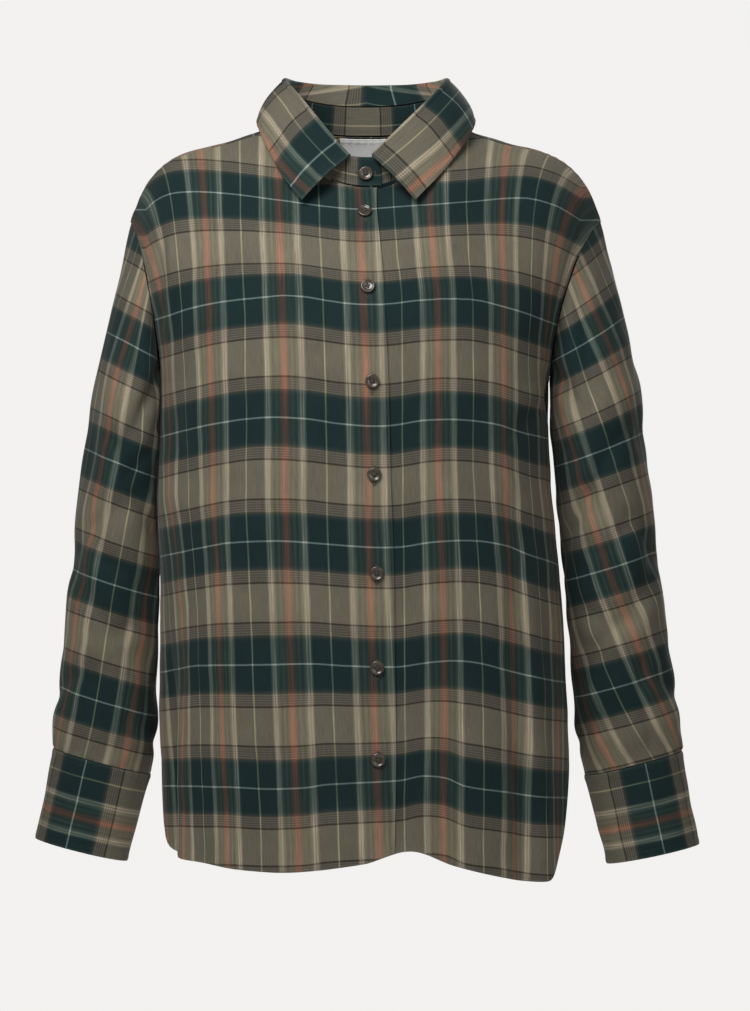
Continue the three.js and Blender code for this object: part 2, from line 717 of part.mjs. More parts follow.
// The neck seam from the front, through the nape at share 0, to the front again; share runs from -1 to 1
// and carries on along the fronts' laps past its ends.
function neckPoint(share) {
  const side = share < 0 ? -1 : 1;
  const part = Math.abs(share);
  if (part <= backNeckPart) return bodyPoint('back', side * neckShare.back * (part / backNeckPart), 1);
  const turn = ((1 - part) / (1 - backNeckPart)) * (Math.PI / 2);
  if (turn < 0) {
    const x = -turn * standSpread;
    const { y } = bodyPoint('front', 0, frontNeckLevel);
    return new THREE.Vector3(-side * x, y, frontNeckHeight + lapRise * x);
  }
  const level = 1 - (1 - frontNeckLevel) * Math.cos(turn);
  return bodyPoint('front', side * neckShare.front * Math.sin(turn), level);
}

// A point of the stand, up from 0 at the neck seam to 1 at its top.
function standPoint(share, up) {
  const foot = neckPoint(share);
  const inward = new THREE.Vector3(-foot.x, -backNeck.depth - foot.y, 0).normalize();
  const tilt = standLean * (1 - 0.5 * Math.abs(share));
  foot.z += standFootGap + lapLift * smoothStep(0.7, 0.9, Math.abs(share));
  const lift = lapLift * smoothStep(standLapStart, standLapFull, -share);
  foot.addScaledVector(inward, tilt * up * standHeight - lift);
  foot.z += up * standHeight;
  return foot;
}

function standBand() {
  const half = [
    ...evenSteps(standEnd, 1, standEndColumns),
    ...evenSteps(1, backNeckPart, neckRowCount).slice(1),
    ...evenSteps(backNeckPart, 0, yokeNeckColumns).slice(1),
  ];
  const shares = [...half, ...half.slice(0, -1).reverse().map((share) => -share)];
  const rows = evenSteps(1, 0, standRowCount).map((up) => shares.map((share) => {
    const fromEnd = (standEnd - Math.abs(share)) * standSpread * (Math.PI / 2) / (1 - backNeckPart);
    const corner = Math.min(fromEnd / standCorner, 1);
    const round = Math.sqrt(1 - (1 - corner) ** 2);
    return [share, up * (standCornerFloor + (1 - standCornerFloor) * round)];
  }));
  return wallGeometry(rows, standPoint, clothThickness);
}

// The leaf comes up inside the neck from the stand's top, folds over at the roll and falls to its edge.
function leafPoint(share, fall) {
  const side = share < 0 ? -1 : 1;
  const part = Math.abs(share);
  const pick = (column) => mixRows(leafRows, 'share', part, column);
  const roll = new THREE.Vector3(side * pick('rollX'), pick('rollY'), pick('rollZ'));
  const edge = new THREE.Vector3(side * pick('edgeX'), pick('edgeY'), pick('edgeZ'));
  const foot = standPoint(share * leafReach, 1);
  foot.z += leafFootGap;
  const outward = new THREE.Vector3(roll.x, roll.y + backNeck.depth, 0).normalize();
  if (fall < leafRollStart) {
    return foot.lerp(roll.addScaledVector(outward, -rollRadius), fall / leafRollStart);
  }
  if (fall < leafRollEnd) {
    const turn = Math.PI * (fall - leafRollStart) / (leafRollEnd - leafRollStart);
    roll.addScaledVector(outward, -rollRadius * Math.cos(turn));
    roll.z += rollRadius * Math.sin(turn);
    return roll;
  }
  const t = (fall - leafRollEnd) / (1 - leafRollEnd);
  const start = roll.addScaledVector(outward, rollRadius);
  const middle = start.clone().lerp(edge, 0.5).addScaledVector(outward, leafBulge);
  middle.z += leafBulgeLift;
  return start.multiplyScalar((1 - t) ** 2)
    .addScaledVector(middle, 2 * t * (1 - t))
    .addScaledVector(edge, t * t);
}

function collarLeaf() {
  const shares = evenSteps(1, -1, leafColumns);
  const rows = leafFalls.map((fall) => shares.map((share) => [share, fall]));
  return wallGeometry(rows, leafPoint, clothThickness);
}

// A plain disc with a raised rim, its back at the origin and its face towards +Z.
function buttonShape() {
  const { radius, thickness, rim, dish } = button;
  const profile = [
    [0, 0],
    [radius - 0.8, 0],
    [radius, thickness * 0.55],
    [radius - 0.6, thickness],
    [radius - rim, thickness],
    [radius - rim - 0.8, thickness - dish],
    [0, thickness - dish],
  ].map(([x, y]) => new THREE.Vector2(x, y));
  const geometry = new THREE.LatheGeometry(profile, buttonSides);
  geometry.rotateX(Math.PI / 2);
  geometry.deleteAttribute('normal');
  geometry.deleteAttribute('uv');
  return geometry;
}

function addButton(name, place, facing) {
  const out = facing.clone().normalize();
  const geometry = mergeVertices(buttonShape(), 1e-4);
  const mesh = addPiece(name, geometry, colours.horn, 0.35);
  mesh.position.copy(place).addScaledVector(out, clothThickness / 2 + buttonGap);
  mesh.quaternion.setFromUnitVectors(new THREE.Vector3(0, 0, 1), out);
}

function addFrontButtons() {
  buttonHeights.forEach((height, i) => {
    const u = closureX(height) / halfGirthFront;
    const level = height > underarmHeight
      ? levelAtHeight('front', u, height)
      : (underarmHeight - height) / (hemHeight('front', u) - underarmHeight);
    const over = (...place) => frontPoint(-1, ...place);
    addButton(`button_${i + 2}`, over(u, level), squareTo(over, [u, level]));
  });
  const place = [-1, 0.42];
  addButton('button_1', standPoint(...place), squareTo(standPoint, place).negate());
}

function addCuffButton(name, side) {
  const wall = (along, turn) => cuffWallPoint(side, along, turn);
  const place = [0.5, slitTurn + 2 * Math.PI];
  const facing = squareTo(wall, place).multiplyScalar(-side);
  addButton(`cuff_button_${name}`, wall(...place), facing);
}

// The strip that finishes the slit above the cuff, laid on the back of the sleeve.
function sleevePlacket(side) {
  const turns = side < 0 ? slitTurns : [...slitTurns].reverse();
  const covered = sleeveSteps.filter((along) => along >= placket.top && along < placket.bottom);
  const steps = [...covered, placket.bottom];
  const sleeve = (along, turn) => sleevePoint(side, along, turn);
  const lift = -side * ((clothThickness + placket.thickness) / 2 + placket.gap);
  const raised = (along, turn) => sleeve(along, turn).addScaledVector(squareTo(sleeve, [along, turn]), lift);
  const rows = steps.map((along) => turns.map((turn) => [along, turn]));
  return wallGeometry(rows, raised, placket.thickness, false, 0);
}

// The blank label hangs from the neck seam, on the inside of the yoke.
function neckLabel() {
  const lift = (clothThickness + label.thickness) / 2 + label.gap;
  const girth = backNeck.halfWidth * backNeck.turn;
  const inside = (u, share) => yokePoint(u, share).addScaledVector(squareTo(yokePoint, [u, share]), lift);
  const rows = evenSteps(0, label.drop, 4).map((drop) => evenSteps(label.right, label.left, 6).map((x) => (
    [(x / girth) * neckShare.back * label.stretch, label.top - drop / label.yokeLength]
  )));
  return wallGeometry(rows, inside, label.thickness, false, 0);
}

addPiece('front_over', frontPanel(-1), colours.plaid);
addPiece('front_under', frontPanel(1), colours.plaid);
addPiece('back', backPanel(), colours.plaid);
addPiece('yoke', yokePanel(), colours.plaid);
addPiece('collar_stand', standBand(), colours.plaid);
addPiece('collar_leaf', collarLeaf(), colours.plaid);
addPiece('neck_label', neckLabel(), colours.label);
for (const [name, side] of [['left', -1], ['right', 1]]) {
  addPiece(`sleeve_${name}`, sleeveTube(side), colours.plaid);
  addPiece(`cuff_${name}`, cuffBand(side), colours.plaid);
  addPiece(`placket_${name}`, sleevePlacket(side), colours.plaid);
  addCuffButton(name, side);
}
addFrontButtons();

export default shirt;
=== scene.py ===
import math

import bpy
import numpy as np
from mathutils import Matrix, Vector


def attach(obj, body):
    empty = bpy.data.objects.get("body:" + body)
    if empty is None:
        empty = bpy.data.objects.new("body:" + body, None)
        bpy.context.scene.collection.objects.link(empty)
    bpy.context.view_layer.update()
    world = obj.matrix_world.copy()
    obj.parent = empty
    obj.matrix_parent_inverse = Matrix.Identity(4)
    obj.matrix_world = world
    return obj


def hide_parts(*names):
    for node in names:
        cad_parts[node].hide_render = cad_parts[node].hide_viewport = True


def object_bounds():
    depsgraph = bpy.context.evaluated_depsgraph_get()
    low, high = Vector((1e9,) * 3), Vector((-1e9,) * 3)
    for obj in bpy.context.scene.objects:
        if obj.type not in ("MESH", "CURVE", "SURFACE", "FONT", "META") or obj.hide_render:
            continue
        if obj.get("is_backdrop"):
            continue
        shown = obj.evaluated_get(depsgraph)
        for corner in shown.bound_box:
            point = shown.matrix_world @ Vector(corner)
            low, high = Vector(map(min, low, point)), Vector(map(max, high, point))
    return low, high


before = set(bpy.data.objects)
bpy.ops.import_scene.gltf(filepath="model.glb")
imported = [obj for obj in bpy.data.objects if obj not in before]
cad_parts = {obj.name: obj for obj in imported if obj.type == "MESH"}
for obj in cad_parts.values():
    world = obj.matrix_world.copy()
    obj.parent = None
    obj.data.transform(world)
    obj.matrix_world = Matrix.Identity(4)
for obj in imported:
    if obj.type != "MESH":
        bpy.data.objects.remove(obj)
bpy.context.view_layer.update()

# Lengths below are in millimetres until a mesh is made. +Z is up and the front faces -Y.
# "Left" and "right" are the viewer's. Side -1 is the left, with the front that laps over.
mm = 0.001
wallThickness = 1.2
lapLift = 2.1
underarmHeight = -235
middleDepth = -60
roundness = 2.3
lapHalfWidth = 16
lapTaper = 5
halfGirth = 268
middleEase = 0.16
swell = {"front": 30, "back": 26, "at": 0.86, "reach": 0.22}
outwardMix = {"x": 0.625, "y": 1.2}
neckShare = {"front": 0.29, "back": 0.33}
tipShare = {"front": 0.83, "back": 0.925}
yokeSeamHeight = -98
frontNeckHeight = -60
backNeck = {"halfWidth": 79.4, "depth": 66, "turn": math.radians(104)}

# The camera stands square to the front, where the photographer stood.
eye = {"x": 8.4, "y": -4060, "z": -349, "lens": 152.4}

# Body sections from the underarm down: height, half width left and right, depth in front and behind.
bodyRows = [
    (-235, 191, 170, 142, 112),
    (-290, 192, 170, 145, 114),
    (-345, 194, 173, 147, 114),
    (-400, 192, 179, 147, 113),
    (-470, 191, 184, 146, 113),
    (-550, 191, 188, 145, 113),
    (-620, 189, 189, 144, 114),
    (-700, 188, 190, 143, 115),
]
bodyColumn = {"left": 1, "right": 2, "front": 3, "back": 4}

# The line that the fronts hang from, from the neck, 0, to the armhole, 1: place, x, y, z.
shoulderRows = [
    (-0.537, 0, -100, -31),
    (-0.26, 40, -97, -18),
    (0, 77, -82, 3),
    (0.19, 104, -80, -6),
    (0.37, 131, -78, -14),
    (0.61, 166, -75, -22),
    (0.76, 188, -71, -33),
    (0.89, 206, -65, -53),
    (1, 219, -58, -84),
    (1.32, 238, -52, -150),
]
turnRows = {
    "front": [(0, 60), (0.2, 68), (0.29, 77), (0.6, 78), (0.83, 84), (1, 80)],
    "back": [
        (0, 62), (0.15, 70), (0.27, 86), (0.36, 98), (0.6, 100), (0.8, 98), (0.925, 93), (1, 85),
    ],
}
backNeckRows = [(0, 0), (0.12, 0.1), (0.3, 1.5), (0.6, 6), (0.85, 8.5), (1, 3)]
hemRows = {
    "frontLeft": [
        (0, -672), (0.15, -678), (0.3, -681), (0.45, -679), (0.57, -675), (0.7, -671),
        (0.85, -660), (0.93, -615), (1, -585),
    ],
    "frontRight": [
        (0, -672), (0.15, -661), (0.3, -675), (0.46, -686), (0.6, -692), (0.68, -690),
        (0.76, -671), (0.87, -625), (0.94, -600), (1, -585),
    ],
    "back": [(0, -664), (0.4, -666), (0.6, -661), (0.8, -638), (0.92, -604), (1, -585)],
}
closureRows = [
    (-46, 0), (-83, -1), (-152, 2), (-237, 6.5), (-321, 8.4), (-410, 10.3), (-495, 10.4),
    (-578, 11.1), (-690, 9),
]
buttonHeights = [-83, -152, -237, -321, -410, -495, -578]

# Large folds: face, place at the top as a share of the half girth, drift down, reach, depth, top.
bodyFolds = [
    ("front", 0.5, 0.07, 0.045, -9, -330),
    ("front", 0.62, 0.04, 0.06, 7, -380),
    ("front", -0.66, -0.02, 0.055, 6, -420),
    ("front", -0.77, -0.01, 0.045, -8, -400),
    ("front", -0.33, -0.03, 0.07, -4, -470),
    ("front", 0.24, 0.02, 0.07, -4, -480),
    ("back", -0.5, 0.06, 0.08, 8, -160),
    ("back", -0.3, 0.04, 0.07, -7, -240),
    ("back", 0.1, -0.04, 0.08, 7, -200),
    ("back", 0.36, 0.03, 0.07, -7, -280),
    ("back", 0.62, 0.04, 0.08, 8, -180),
]
foldBottom = -760

# Sleeve sections down to the cuff seam: centre, lean of the section, half width, half depth.
sleeveRows = {
    -1: [
        (218, -58, -246, 25, 37, 66), (222, -54, -300, 22, 40, 67), (228, -50, -355, 20, 43, 64),
        (234, -47, -410, 18, 43, 61), (238, -46, -460, 17, 45, 57), (241, -45, -510, 17, 47, 53),
        (244, -45, -555, 16, 50, 47), (247.5, -45, -588, 15, 46.5, 39),
    ],
    1: [
        (213, -58, -250, 25, 45, 66), (218, -54, -300, 20, 44, 67), (224, -50, -355, 18, 45.5, 64),
        (230, -47, -410, 17, 46, 61), (235.5, -46, -460, 16, 46.5, 57), (240, -45, -510, 16, 48, 53),
        (246, -45, -555, 15, 50, 47), (250.5, -45, -590, 14, 46.5, 39),
    ],
}
cuffRows = {
    -1: [
        (247.7, -45, -588.7, 15, 46.5, 39), (257.5, -46, -631, 15, 44.5, 36),
        (267, -47, -671, 14, 43.5, 35),
    ],
    1: [
        (250.7, -45, -590.7, 14, 46.5, 39), (260, -46, -634, 13, 44.5, 36),
        (269, -47, -675, 12, 43.5, 35),
    ],
}
# Creases round a sleeve: along, around in degrees, reach along, reach around, slope, depth.
sleeveFolds = [
    (0.34, 120, 0.035, 60, 0.12, -6),
    (0.42, 60, 0.04, 70, -0.1, -5),
    (0.56, 280, 0.035, 70, 0.1, -6),
    (0.63, 100, 0.04, 80, 0.08, -4),
    (0.8, 30, 0.035, 80, -0.08, -4),
    (0.9, 200, 0.035, 90, 0.05, -4),
]
sleeveClearance = 4
underarmSpread = 2

standHeight = 26
standLean = 0.16
standFootGap = 1.9
standEnd = 1.05
standSpread = 78
backNeckPart = 0.56
lapRise = 0.02

# Half of the collar leaf from the middle of the back, 0, to its front end, 1: roll x, y, z, edge x, y, z.
leafRows = [
    (0, 0, 6, 47, 0, 27, -13),
    (0.2, 38, 0, 47, 48, 18, -9),
    (0.38, 66, -22, 48, 84, -14, 3),
    (0.52, 76, -52, 48, 99, -54, 11),
    (0.66, 69, -84, 36, 99, -96, 0),
    (0.84, 43, -120, 7, 79, -139, -35),
    (1, 14, -142, -24, 53, -163, -66),
]
leafReach = 0.95
leafFootGap = 1.2
leafBulge = 9
leafBulgeLift = 2.7
rollRadius = 2.6
leafRollStart = 0.2
leafRollEnd = 0.3


def columnOf(rows, column):
    return [(row[0], row[column]) for row in rows]


def curveThrough(rows, at):
    # A smooth curve through rows of place and value, straight past its ends.
    table = np.array(sorted(rows), float)
    keys, values = table[:, 0], table[:, 1]
    slopes = np.empty(len(keys))
    slopes[1:-1] = (values[2:] - values[:-2]) / (keys[2:] - keys[:-2])
    slopes[0] = (values[1] - values[0]) / (keys[1] - keys[0])
    slopes[-1] = (values[-1] - values[-2]) / (keys[-1] - keys[-2])
    at = np.asarray(at, float)
    i = np.clip(np.searchsorted(keys, at) - 1, 0, len(keys) - 2)
    span = keys[i + 1] - keys[i]
    t = np.clip((at - keys[i]) / span, 0, 1)
    inside = (
        (2 * t**3 - 3 * t**2 + 1) * values[i]
        + (t**3 - 2 * t**2 + t) * span * slopes[i]
        + (3 * t**2 - 2 * t**3) * values[i + 1]
        + (t**3 - t**2) * span * slopes[i + 1]
    )
    below = np.minimum(at - keys[0], 0) * slopes[0]
    above = np.maximum(at - keys[-1], 0) * slopes[-1]
    return inside + below + above


def smoothStep(low, high, value):
    t = np.clip((np.asarray(value, float) - low) / (high - low), 0, 1)
    return t * t * (3 - 2 * t)


def bell(distance, reach):
    return np.exp(-((distance / reach) ** 2))


def stack(x, y, z):
    return np.stack(np.broadcast_arrays(x, y, z), axis=-1).astype(float)


def unit(vectors):
    return vectors / np.maximum(np.linalg.norm(vectors, axis=-1, keepdims=True), 1e-9)


def easedShare(u):
    share = np.abs(u)
    return np.where(share > middleEase, share, share**2 / (2 * middleEase) + middleEase / 2)


def sectionOffset(angle, halfWidth, depth):
    power = 2 / roundness
    return halfWidth * np.sin(angle) ** power, depth * np.cos(angle) ** power


def evenGirthTable(halfWidth, depth):
    angles = np.linspace(0, math.pi / 2, 401)
    x, y = sectionOffset(angles, halfWidth, np.full_like(angles, depth))
    y[-1] = 0
    lengths = np.concatenate([[0], np.cumsum(np.hypot(np.diff(x), np.diff(y)))])
    return lengths / lengths[-1], angles, lengths[-1]


girthTables = {"front": evenGirthTable(186, 145), "back": evenGirthTable(186, 113)}


def hemHeight(face, u):
    if face == "back":
        return curveThrough(hemRows["back"], np.abs(u))
    left = curveThrough(hemRows["frontLeft"], np.abs(u))
    return np.where(u < 0, left, curveThrough(hemRows["frontRight"], np.abs(u)))


def bodySection(face, u, z):
    left = curveThrough(columnOf(bodyRows, bodyColumn["left"]), z)
    right = curveThrough(columnOf(bodyRows, bodyColumn["right"]), z)
    depth = curveThrough(columnOf(bodyRows, bodyColumn[face]), z)
    shares, angles, _ = girthTables[face]
    angle = np.interp(np.abs(u), shares, angles)
    x, y = sectionOffset(angle, np.where(u < 0, left, right), depth)
    side = np.where(u < 0, -1, 1)
    facing = -1 if face == "front" else 1
    return stack(side * x, middleDepth + facing * y, z)


def foldPush(face, u, z):
    push = 0
    for name, at, drift, reach, depth, top in bodyFolds:
        if name == face:
            down = (top - z) / (top - foldBottom)
            push = push + depth * smoothStep(0, 0.55, down) * bell(u - at - drift * down, reach)
    return push * (1 - smoothStep(0.9, 1, np.abs(u)))


def foldDirection(point):
    return unit(stack(point[..., 0] * outwardMix["x"], (point[..., 1] - middleDepth) * outwardMix["y"], 0))


def topPoint(face, u):
    side = np.where(u < 0, -1, 1)
    share = np.abs(u)
    span = tipShare[face] - neckShare[face]
    w = (share - neckShare[face]) / span
    eased = (easedShare(u) - neckShare[face]) / span
    shoulder = stack(
        side * curveThrough(columnOf(shoulderRows, 1), w),
        curveThrough(columnOf(shoulderRows, 2), eased),
        curveThrough(columnOf(shoulderRows, 3), eased),
    )
    if face == "front":
        return shoulder
    part = share / neckShare["back"]
    turn = part * backNeck["turn"]
    neck = stack(
        side * backNeck["halfWidth"] * np.sin(turn),
        -backNeck["depth"] * (1 - np.cos(turn)),
        curveThrough(backNeckRows, part),
    )
    return np.where((share < neckShare["back"])[..., None], neck, shoulder)


def turnAt(face, u):
    return np.radians(curveThrough(turnRows[face], easedShare(u)))


# A point of the body. The level runs from -1 at the hem by 0 at the underarm to 1 at the shoulder line.
def bodyPoint(face, u, level):
    u, level = np.broadcast_arrays(np.asarray(u, float), np.asarray(level, float))
    facing = -1 if face == "front" else 1
    down = np.minimum(level, 0)
    lowZ = underarmHeight - down * (hemHeight(face, u) - underarmHeight)
    low = bodySection(face, u, lowZ)
    top = topPoint(face, u)
    turn = turnAt(face, u)
    rise = np.maximum(level, 0)
    across = (1 - np.cos(rise * turn)) / (1 - np.cos(turn))
    up = np.sin(rise * turn) / np.sin(turn)
    fullness = np.sin(math.pi * rise) * bell(np.abs(u) - swell["at"], swell["reach"])
    base = bodySection(face, u, np.full_like(u, underarmHeight))
    high = stack(
        base[..., 0] + (top[..., 0] - base[..., 0]) * across,
        base[..., 1] + (top[..., 1] - base[..., 1]) * across + facing * swell[face] * fullness,
        base[..., 2] + (top[..., 2] - base[..., 2]) * up,
    )
    point = np.where((level <= 0)[..., None], low, high)
    return point + foldDirection(point) * foldPush(face, u, point[..., 2])[..., None]


def levelAtHeight(face, u, z):
    turn = turnAt(face, u)
    rise = (z - underarmHeight) / (topPoint(face, u)[..., 2] - underarmHeight)
    return np.arcsin(np.minimum(rise * np.sin(turn), 1)) / turn


frontNeckLevel = float(levelAtHeight("front", np.array(0.0), frontNeckHeight))
armholePower = 0.55


def armholeShare(face, level):
    rise = np.maximum(level, 0)
    if face == "back":
        rise = np.minimum(rise / levelAtHeight("back", np.array(tipShare["back"]), yokeSeamHeight), 1)
    return 1 - (1 - tipShare[face]) * rise**armholePower


def closureX(z):
    return curveThrough(closureRows, z)


def frontBase(side):
    def pointAt(u, level):
        point = bodyPoint("front", u, level)
        if side > 0:
            return point
        start = -lapHalfWidth - 24
        lift = lapLift * smoothStep(start, start + 20, point[..., 0] - closureX(point[..., 2]))
        turn = np.maximum(level, 0) * turnAt("front", np.array(0.0))
        return point + stack(0, -np.cos(turn), np.sin(turn)) * lift[..., None]
    return pointAt


def frontEdgeShare(side, level):
    z = bodyPoint("front", np.zeros_like(level), level)[..., 2]
    lap = lapHalfWidth - lapTaper * smoothStep(-150, -60, z)
    return (closureX(z) - side * lap) / halfGirth


def backBase(u, level):
    return bodyPoint("back", u, level)


def yokeBase(u, share):
    u, share = np.broadcast_arrays(np.asarray(u, float), np.asarray(share, float))
    seam = levelAtHeight("back", u, yokeSeamHeight)
    return bodyPoint("back", u, seam + (1 - seam) * share)


def tubePoint(side, row, turn):
    x, y, z, lean, width, depth = row
    out = width * np.cos(turn)
    lean = math.radians(lean)
    return stack(side * (x + out * math.cos(lean)), y - depth * np.sin(turn), z + out * math.sin(lean))


# The armhole as a loop: turn 0 at the shoulder, a quarter turn on the front, a half turn underarm.
def armholePoint(side, turn):
    level = (1 + np.cos(turn)) / 2
    front = bodyPoint("front", side * armholeShare("front", level), level)
    back = bodyPoint("back", side * armholeShare("back", level), level)
    return np.where((np.sin(turn) >= 0)[..., None], front, back)


def clearOfBody(side, point, clearance):
    z = np.minimum(point[..., 2], underarmHeight)
    halfWidth = curveThrough(columnOf(bodyRows, 1 if side < 0 else 2), z)
    reach = point[..., 1] - middleDepth
    depth = 8 + np.where(
        reach < 0, curveThrough(columnOf(bodyRows, 3), z), curveThrough(columnOf(bodyRows, 4), z)
    )
    inside = np.maximum(1 - np.abs(reach / depth) ** roundness, 0)
    least = halfWidth * inside ** (1 / roundness) + clearance
    cleared = point.copy()
    cleared[..., 0] = side * np.maximum(side * point[..., 0], least)
    return cleared


def sleeveBase(side):
    rows = sleeveRows[side]
    count = len(rows)

    def pointAt(along, turn):
        along, turn = np.broadcast_arrays(np.asarray(along, float), np.asarray(turn, float))
        start = armholePoint(side, turn)
        start[..., 0] += side * underarmSpread * smoothStep(0.1, 0.4, (1 - np.cos(turn)) / 2)
        rings = [start] + [tubePoint(side, row, turn) for row in rows]
        rings = [2 * rings[0] - rings[1], *rings, 2 * rings[-1] - rings[-2]]
        place = along * count
        index = np.clip(np.floor(place).astype(int), 0, count - 1)
        rings = np.stack(rings)
        a, b, c, d = (
            np.take_along_axis(rings, (index + k)[None, ..., None], axis=0)[0] for k in range(4)
        )
        t = (place - index)[..., None]
        point = (
            (2 * t**3 - 3 * t**2 + 1) * b
            + (t**3 - 2 * t**2 + t) * (c - a) / 2
            + (3 * t**2 - 2 * t**3) * c
            + (t**3 - t**2) * (d - b) / 2
        )
        push = 0
        for at, around, reachAlong, reachAround, slope, depth in sleeveFolds:
            turned = turn - math.radians(around)
            turned = np.arctan2(np.sin(turned), np.cos(turned))
            climb = along - at - slope * turned
            push = push + depth * bell(climb, reachAlong) * bell(turned, math.radians(reachAround))
        lean = math.radians(rows[0][3])
        outward = stack(side * np.cos(turn) * math.cos(lean), -np.sin(turn), 0)
        point = point + outward * (push * smoothStep(0, 0.25, along))[..., None]
        clearance = underarmSpread + (sleeveClearance - underarmSpread) * smoothStep(0, 0.1, along)
        return clearOfBody(side, point, clearance)

    return pointAt


# The cuff's slit opens at the back of the sleeve.
yokeTurn = math.acos(
    2 * float(levelAtHeight("back", np.array(tipShare["back"]), yokeSeamHeight)) - 1
)
slitSpread = (math.pi - yokeTurn) / 6
slitTurns = [2 * math.pi - yokeTurn - 2 * slitSpread, 2 * math.pi - yokeTurn - slitSpread]
slitTurn = sum(slitTurns) / 2
cuffLapHalfTurn = 0.22
cuffTurns = (slitTurn - cuffLapHalfTurn, slitTurn + 2 * math.pi + cuffLapHalfTurn)


def cuffBase(side):
    rows = cuffRows[side]

    def pointAt(along, turn):
        along, turn = np.broadcast_arrays(np.asarray(along, float), np.asarray(turn, float))
        rings = [tubePoint(side, row, turn) for row in rows]
        place = (along * 2)[..., None]
        upper = rings[0] + (rings[1] - rings[0]) * place
        lower = rings[1] + (rings[2] - rings[1]) * (place - 1)
        end = cuffTurns[1]
        lift = lapLift * smoothStep(end - 5 * cuffLapHalfTurn, end - 2.2 * cuffLapHalfTurn, turn)
        outward = stack(side * np.cos(turn), -np.sin(turn), 0)
        return np.where(place < 1, upper, lower) + outward * lift[..., None]

    return pointAt


# The neck seam from the front, through the nape at share 0, to the front again.
def neckPoint(share):
    side = np.where(share < 0, -1, 1)
    part = np.abs(share)
    nape = bodyPoint("back", side * neckShare["back"] * np.minimum(part / backNeckPart, 1), 1)
    turn = (1 - part) / (1 - backNeckPart) * (math.pi / 2)
    level = 1 - (1 - frontNeckLevel) * np.cos(np.maximum(turn, 0))
    front = bodyPoint("front", side * neckShare["front"] * np.sin(np.maximum(turn, 0)), level)
    x = -turn * standSpread
    y = float(bodyPoint("front", 0, frontNeckLevel)[..., 1])
    lap = stack(-side * x, y, frontNeckHeight + lapRise * x)
    point = np.where((part <= backNeckPart)[..., None], nape, front)
    return np.where((turn < 0)[..., None], lap, point)


def standBase(share, up):
    share, up = np.broadcast_arrays(np.asarray(share, float), np.asarray(up, float))
    foot = neckPoint(share)
    inward = unit(stack(-foot[..., 0], -backNeck["depth"] - foot[..., 1], 0))
    tilt = standLean * (1 - 0.5 * np.abs(share))
    lift = lapLift * smoothStep(0.86, 0.95, -share)
    point = foot + inward * (tilt * up * standHeight - lift)[..., None]
    rise = standFootGap + lapLift * smoothStep(0.7, 0.9, np.abs(share)) + up * standHeight
    return point + stack(0, 0, rise)


def leafBase(share, fall):
    share, fall = np.broadcast_arrays(np.asarray(share, float), np.asarray(fall, float))
    side = np.where(share < 0, -1, 1)
    part = np.abs(share)
    values = [curveThrough(columnOf(leafRows, k), part) for k in range(1, 7)]
    roll = stack(side * values[0], values[1], values[2])
    edge = stack(side * values[3], values[4], values[5])
    # The points hang a little lower than on the solid, and lean to the viewer's left.
    lean = smoothStep(0.66, 1.0, part)
    roll = roll + np.where(side < 0, -1.5, -8.0)[..., None] * lean[..., None] * np.array([1.0, 0.0, 0.0])
    edge = edge + np.where(side < 0, -5.0, -8.0)[..., None] * lean[..., None] * np.array([1.0, 0.0, 0.0])
    roll, edge = roll + stack(0, 0, -6 * lean), edge + stack(0, -1.5 * lean, -5 * lean)
    foot = standBase(share * leafReach, 1) + stack(0, 0, leafFootGap)
    outward = unit(stack(roll[..., 0], roll[..., 1] + backNeck["depth"], 0))
    rise = (fall / leafRollStart)[..., None]
    inner = foot + (roll - outward * rollRadius - foot) * rise
    turn = math.pi * (fall - leafRollStart) / (leafRollEnd - leafRollStart)
    over = roll - outward * (rollRadius * np.cos(turn))[..., None]
    over = over + stack(0, 0, rollRadius * np.sin(turn))
    t = ((fall - leafRollEnd) / (1 - leafRollEnd))[..., None]
    start = roll + outward * rollRadius
    middle = (start + edge) / 2 + outward * leafBulge + stack(0, 0, leafBulgeLift)
    outer = start * (1 - t) ** 2 + middle * 2 * t * (1 - t) + edge * t * t
    point = np.where((fall < leafRollStart)[..., None], inner, over)
    return np.where((fall >= leafRollEnd)[..., None], outer, point)


# Outward direction square to a surface, by small steps both ways.
def squareTo(pointAt, a, b, facing):
    step = 0.004
    first = pointAt(a + step, b) - pointAt(a - step, b)
    second = pointAt(a, b + step) - pointAt(a, b - step)
    return unit(np.cross(first, second)) * facing


# Where the camera sees a point, on the upright plane through the middle of the shirt.
def seenAt(point):
    scale = (middleDepth - eye["y"]) / (point[..., 1] - eye["y"])
    x = eye["x"] + (point[..., 0] - eye["x"]) * scale
    return x, eye["z"] + (point[..., 2] - eye["z"]) * scale


# Soft troughs along bent lines, uneven in depth, each with the cloth heaped up on one side.
def creaseRelief(a, b, creases):
    relief = np.zeros(np.shape(a))
    for path, width, depth, heap in creases:
        points = np.array(path, float)
        lengths = np.hypot(*np.diff(points, axis=0).T)
        nearest = np.full(np.shape(a), 1e9)
        along = np.zeros(np.shape(a))
        side = np.zeros(np.shape(a))
        run = 0
        for p, q, length in zip(points[:-1], points[1:], lengths):
            dx, dy = (q - p) / length
            s = np.clip((a - p[0]) * dx + (b - p[1]) * dy, 0, length)
            offX, offY = a - p[0] - s * dx, b - p[1] - s * dy
            distance = np.hypot(offX, offY)
            closer = distance < nearest
            nearest = np.where(closer, distance, nearest)
            along = np.where(closer, (run + s) / lengths.sum(), along)
            side = np.where(closer, np.sign(dx * offY - dy * offX), side)
            run += length
        taper = 1 - (2 * along - 1) ** 4
        uneven = 1 + 0.25 * np.sin(9 * along + points[0][0]) + 0.15 * np.sin(23 * along + 1)
        signed = nearest * side
        shape = 0.55 * bell(signed - heap * 1.9 * width, 1.3 * width) - bell(signed, width)
        relief += depth * taper * uneven * shape
    return relief


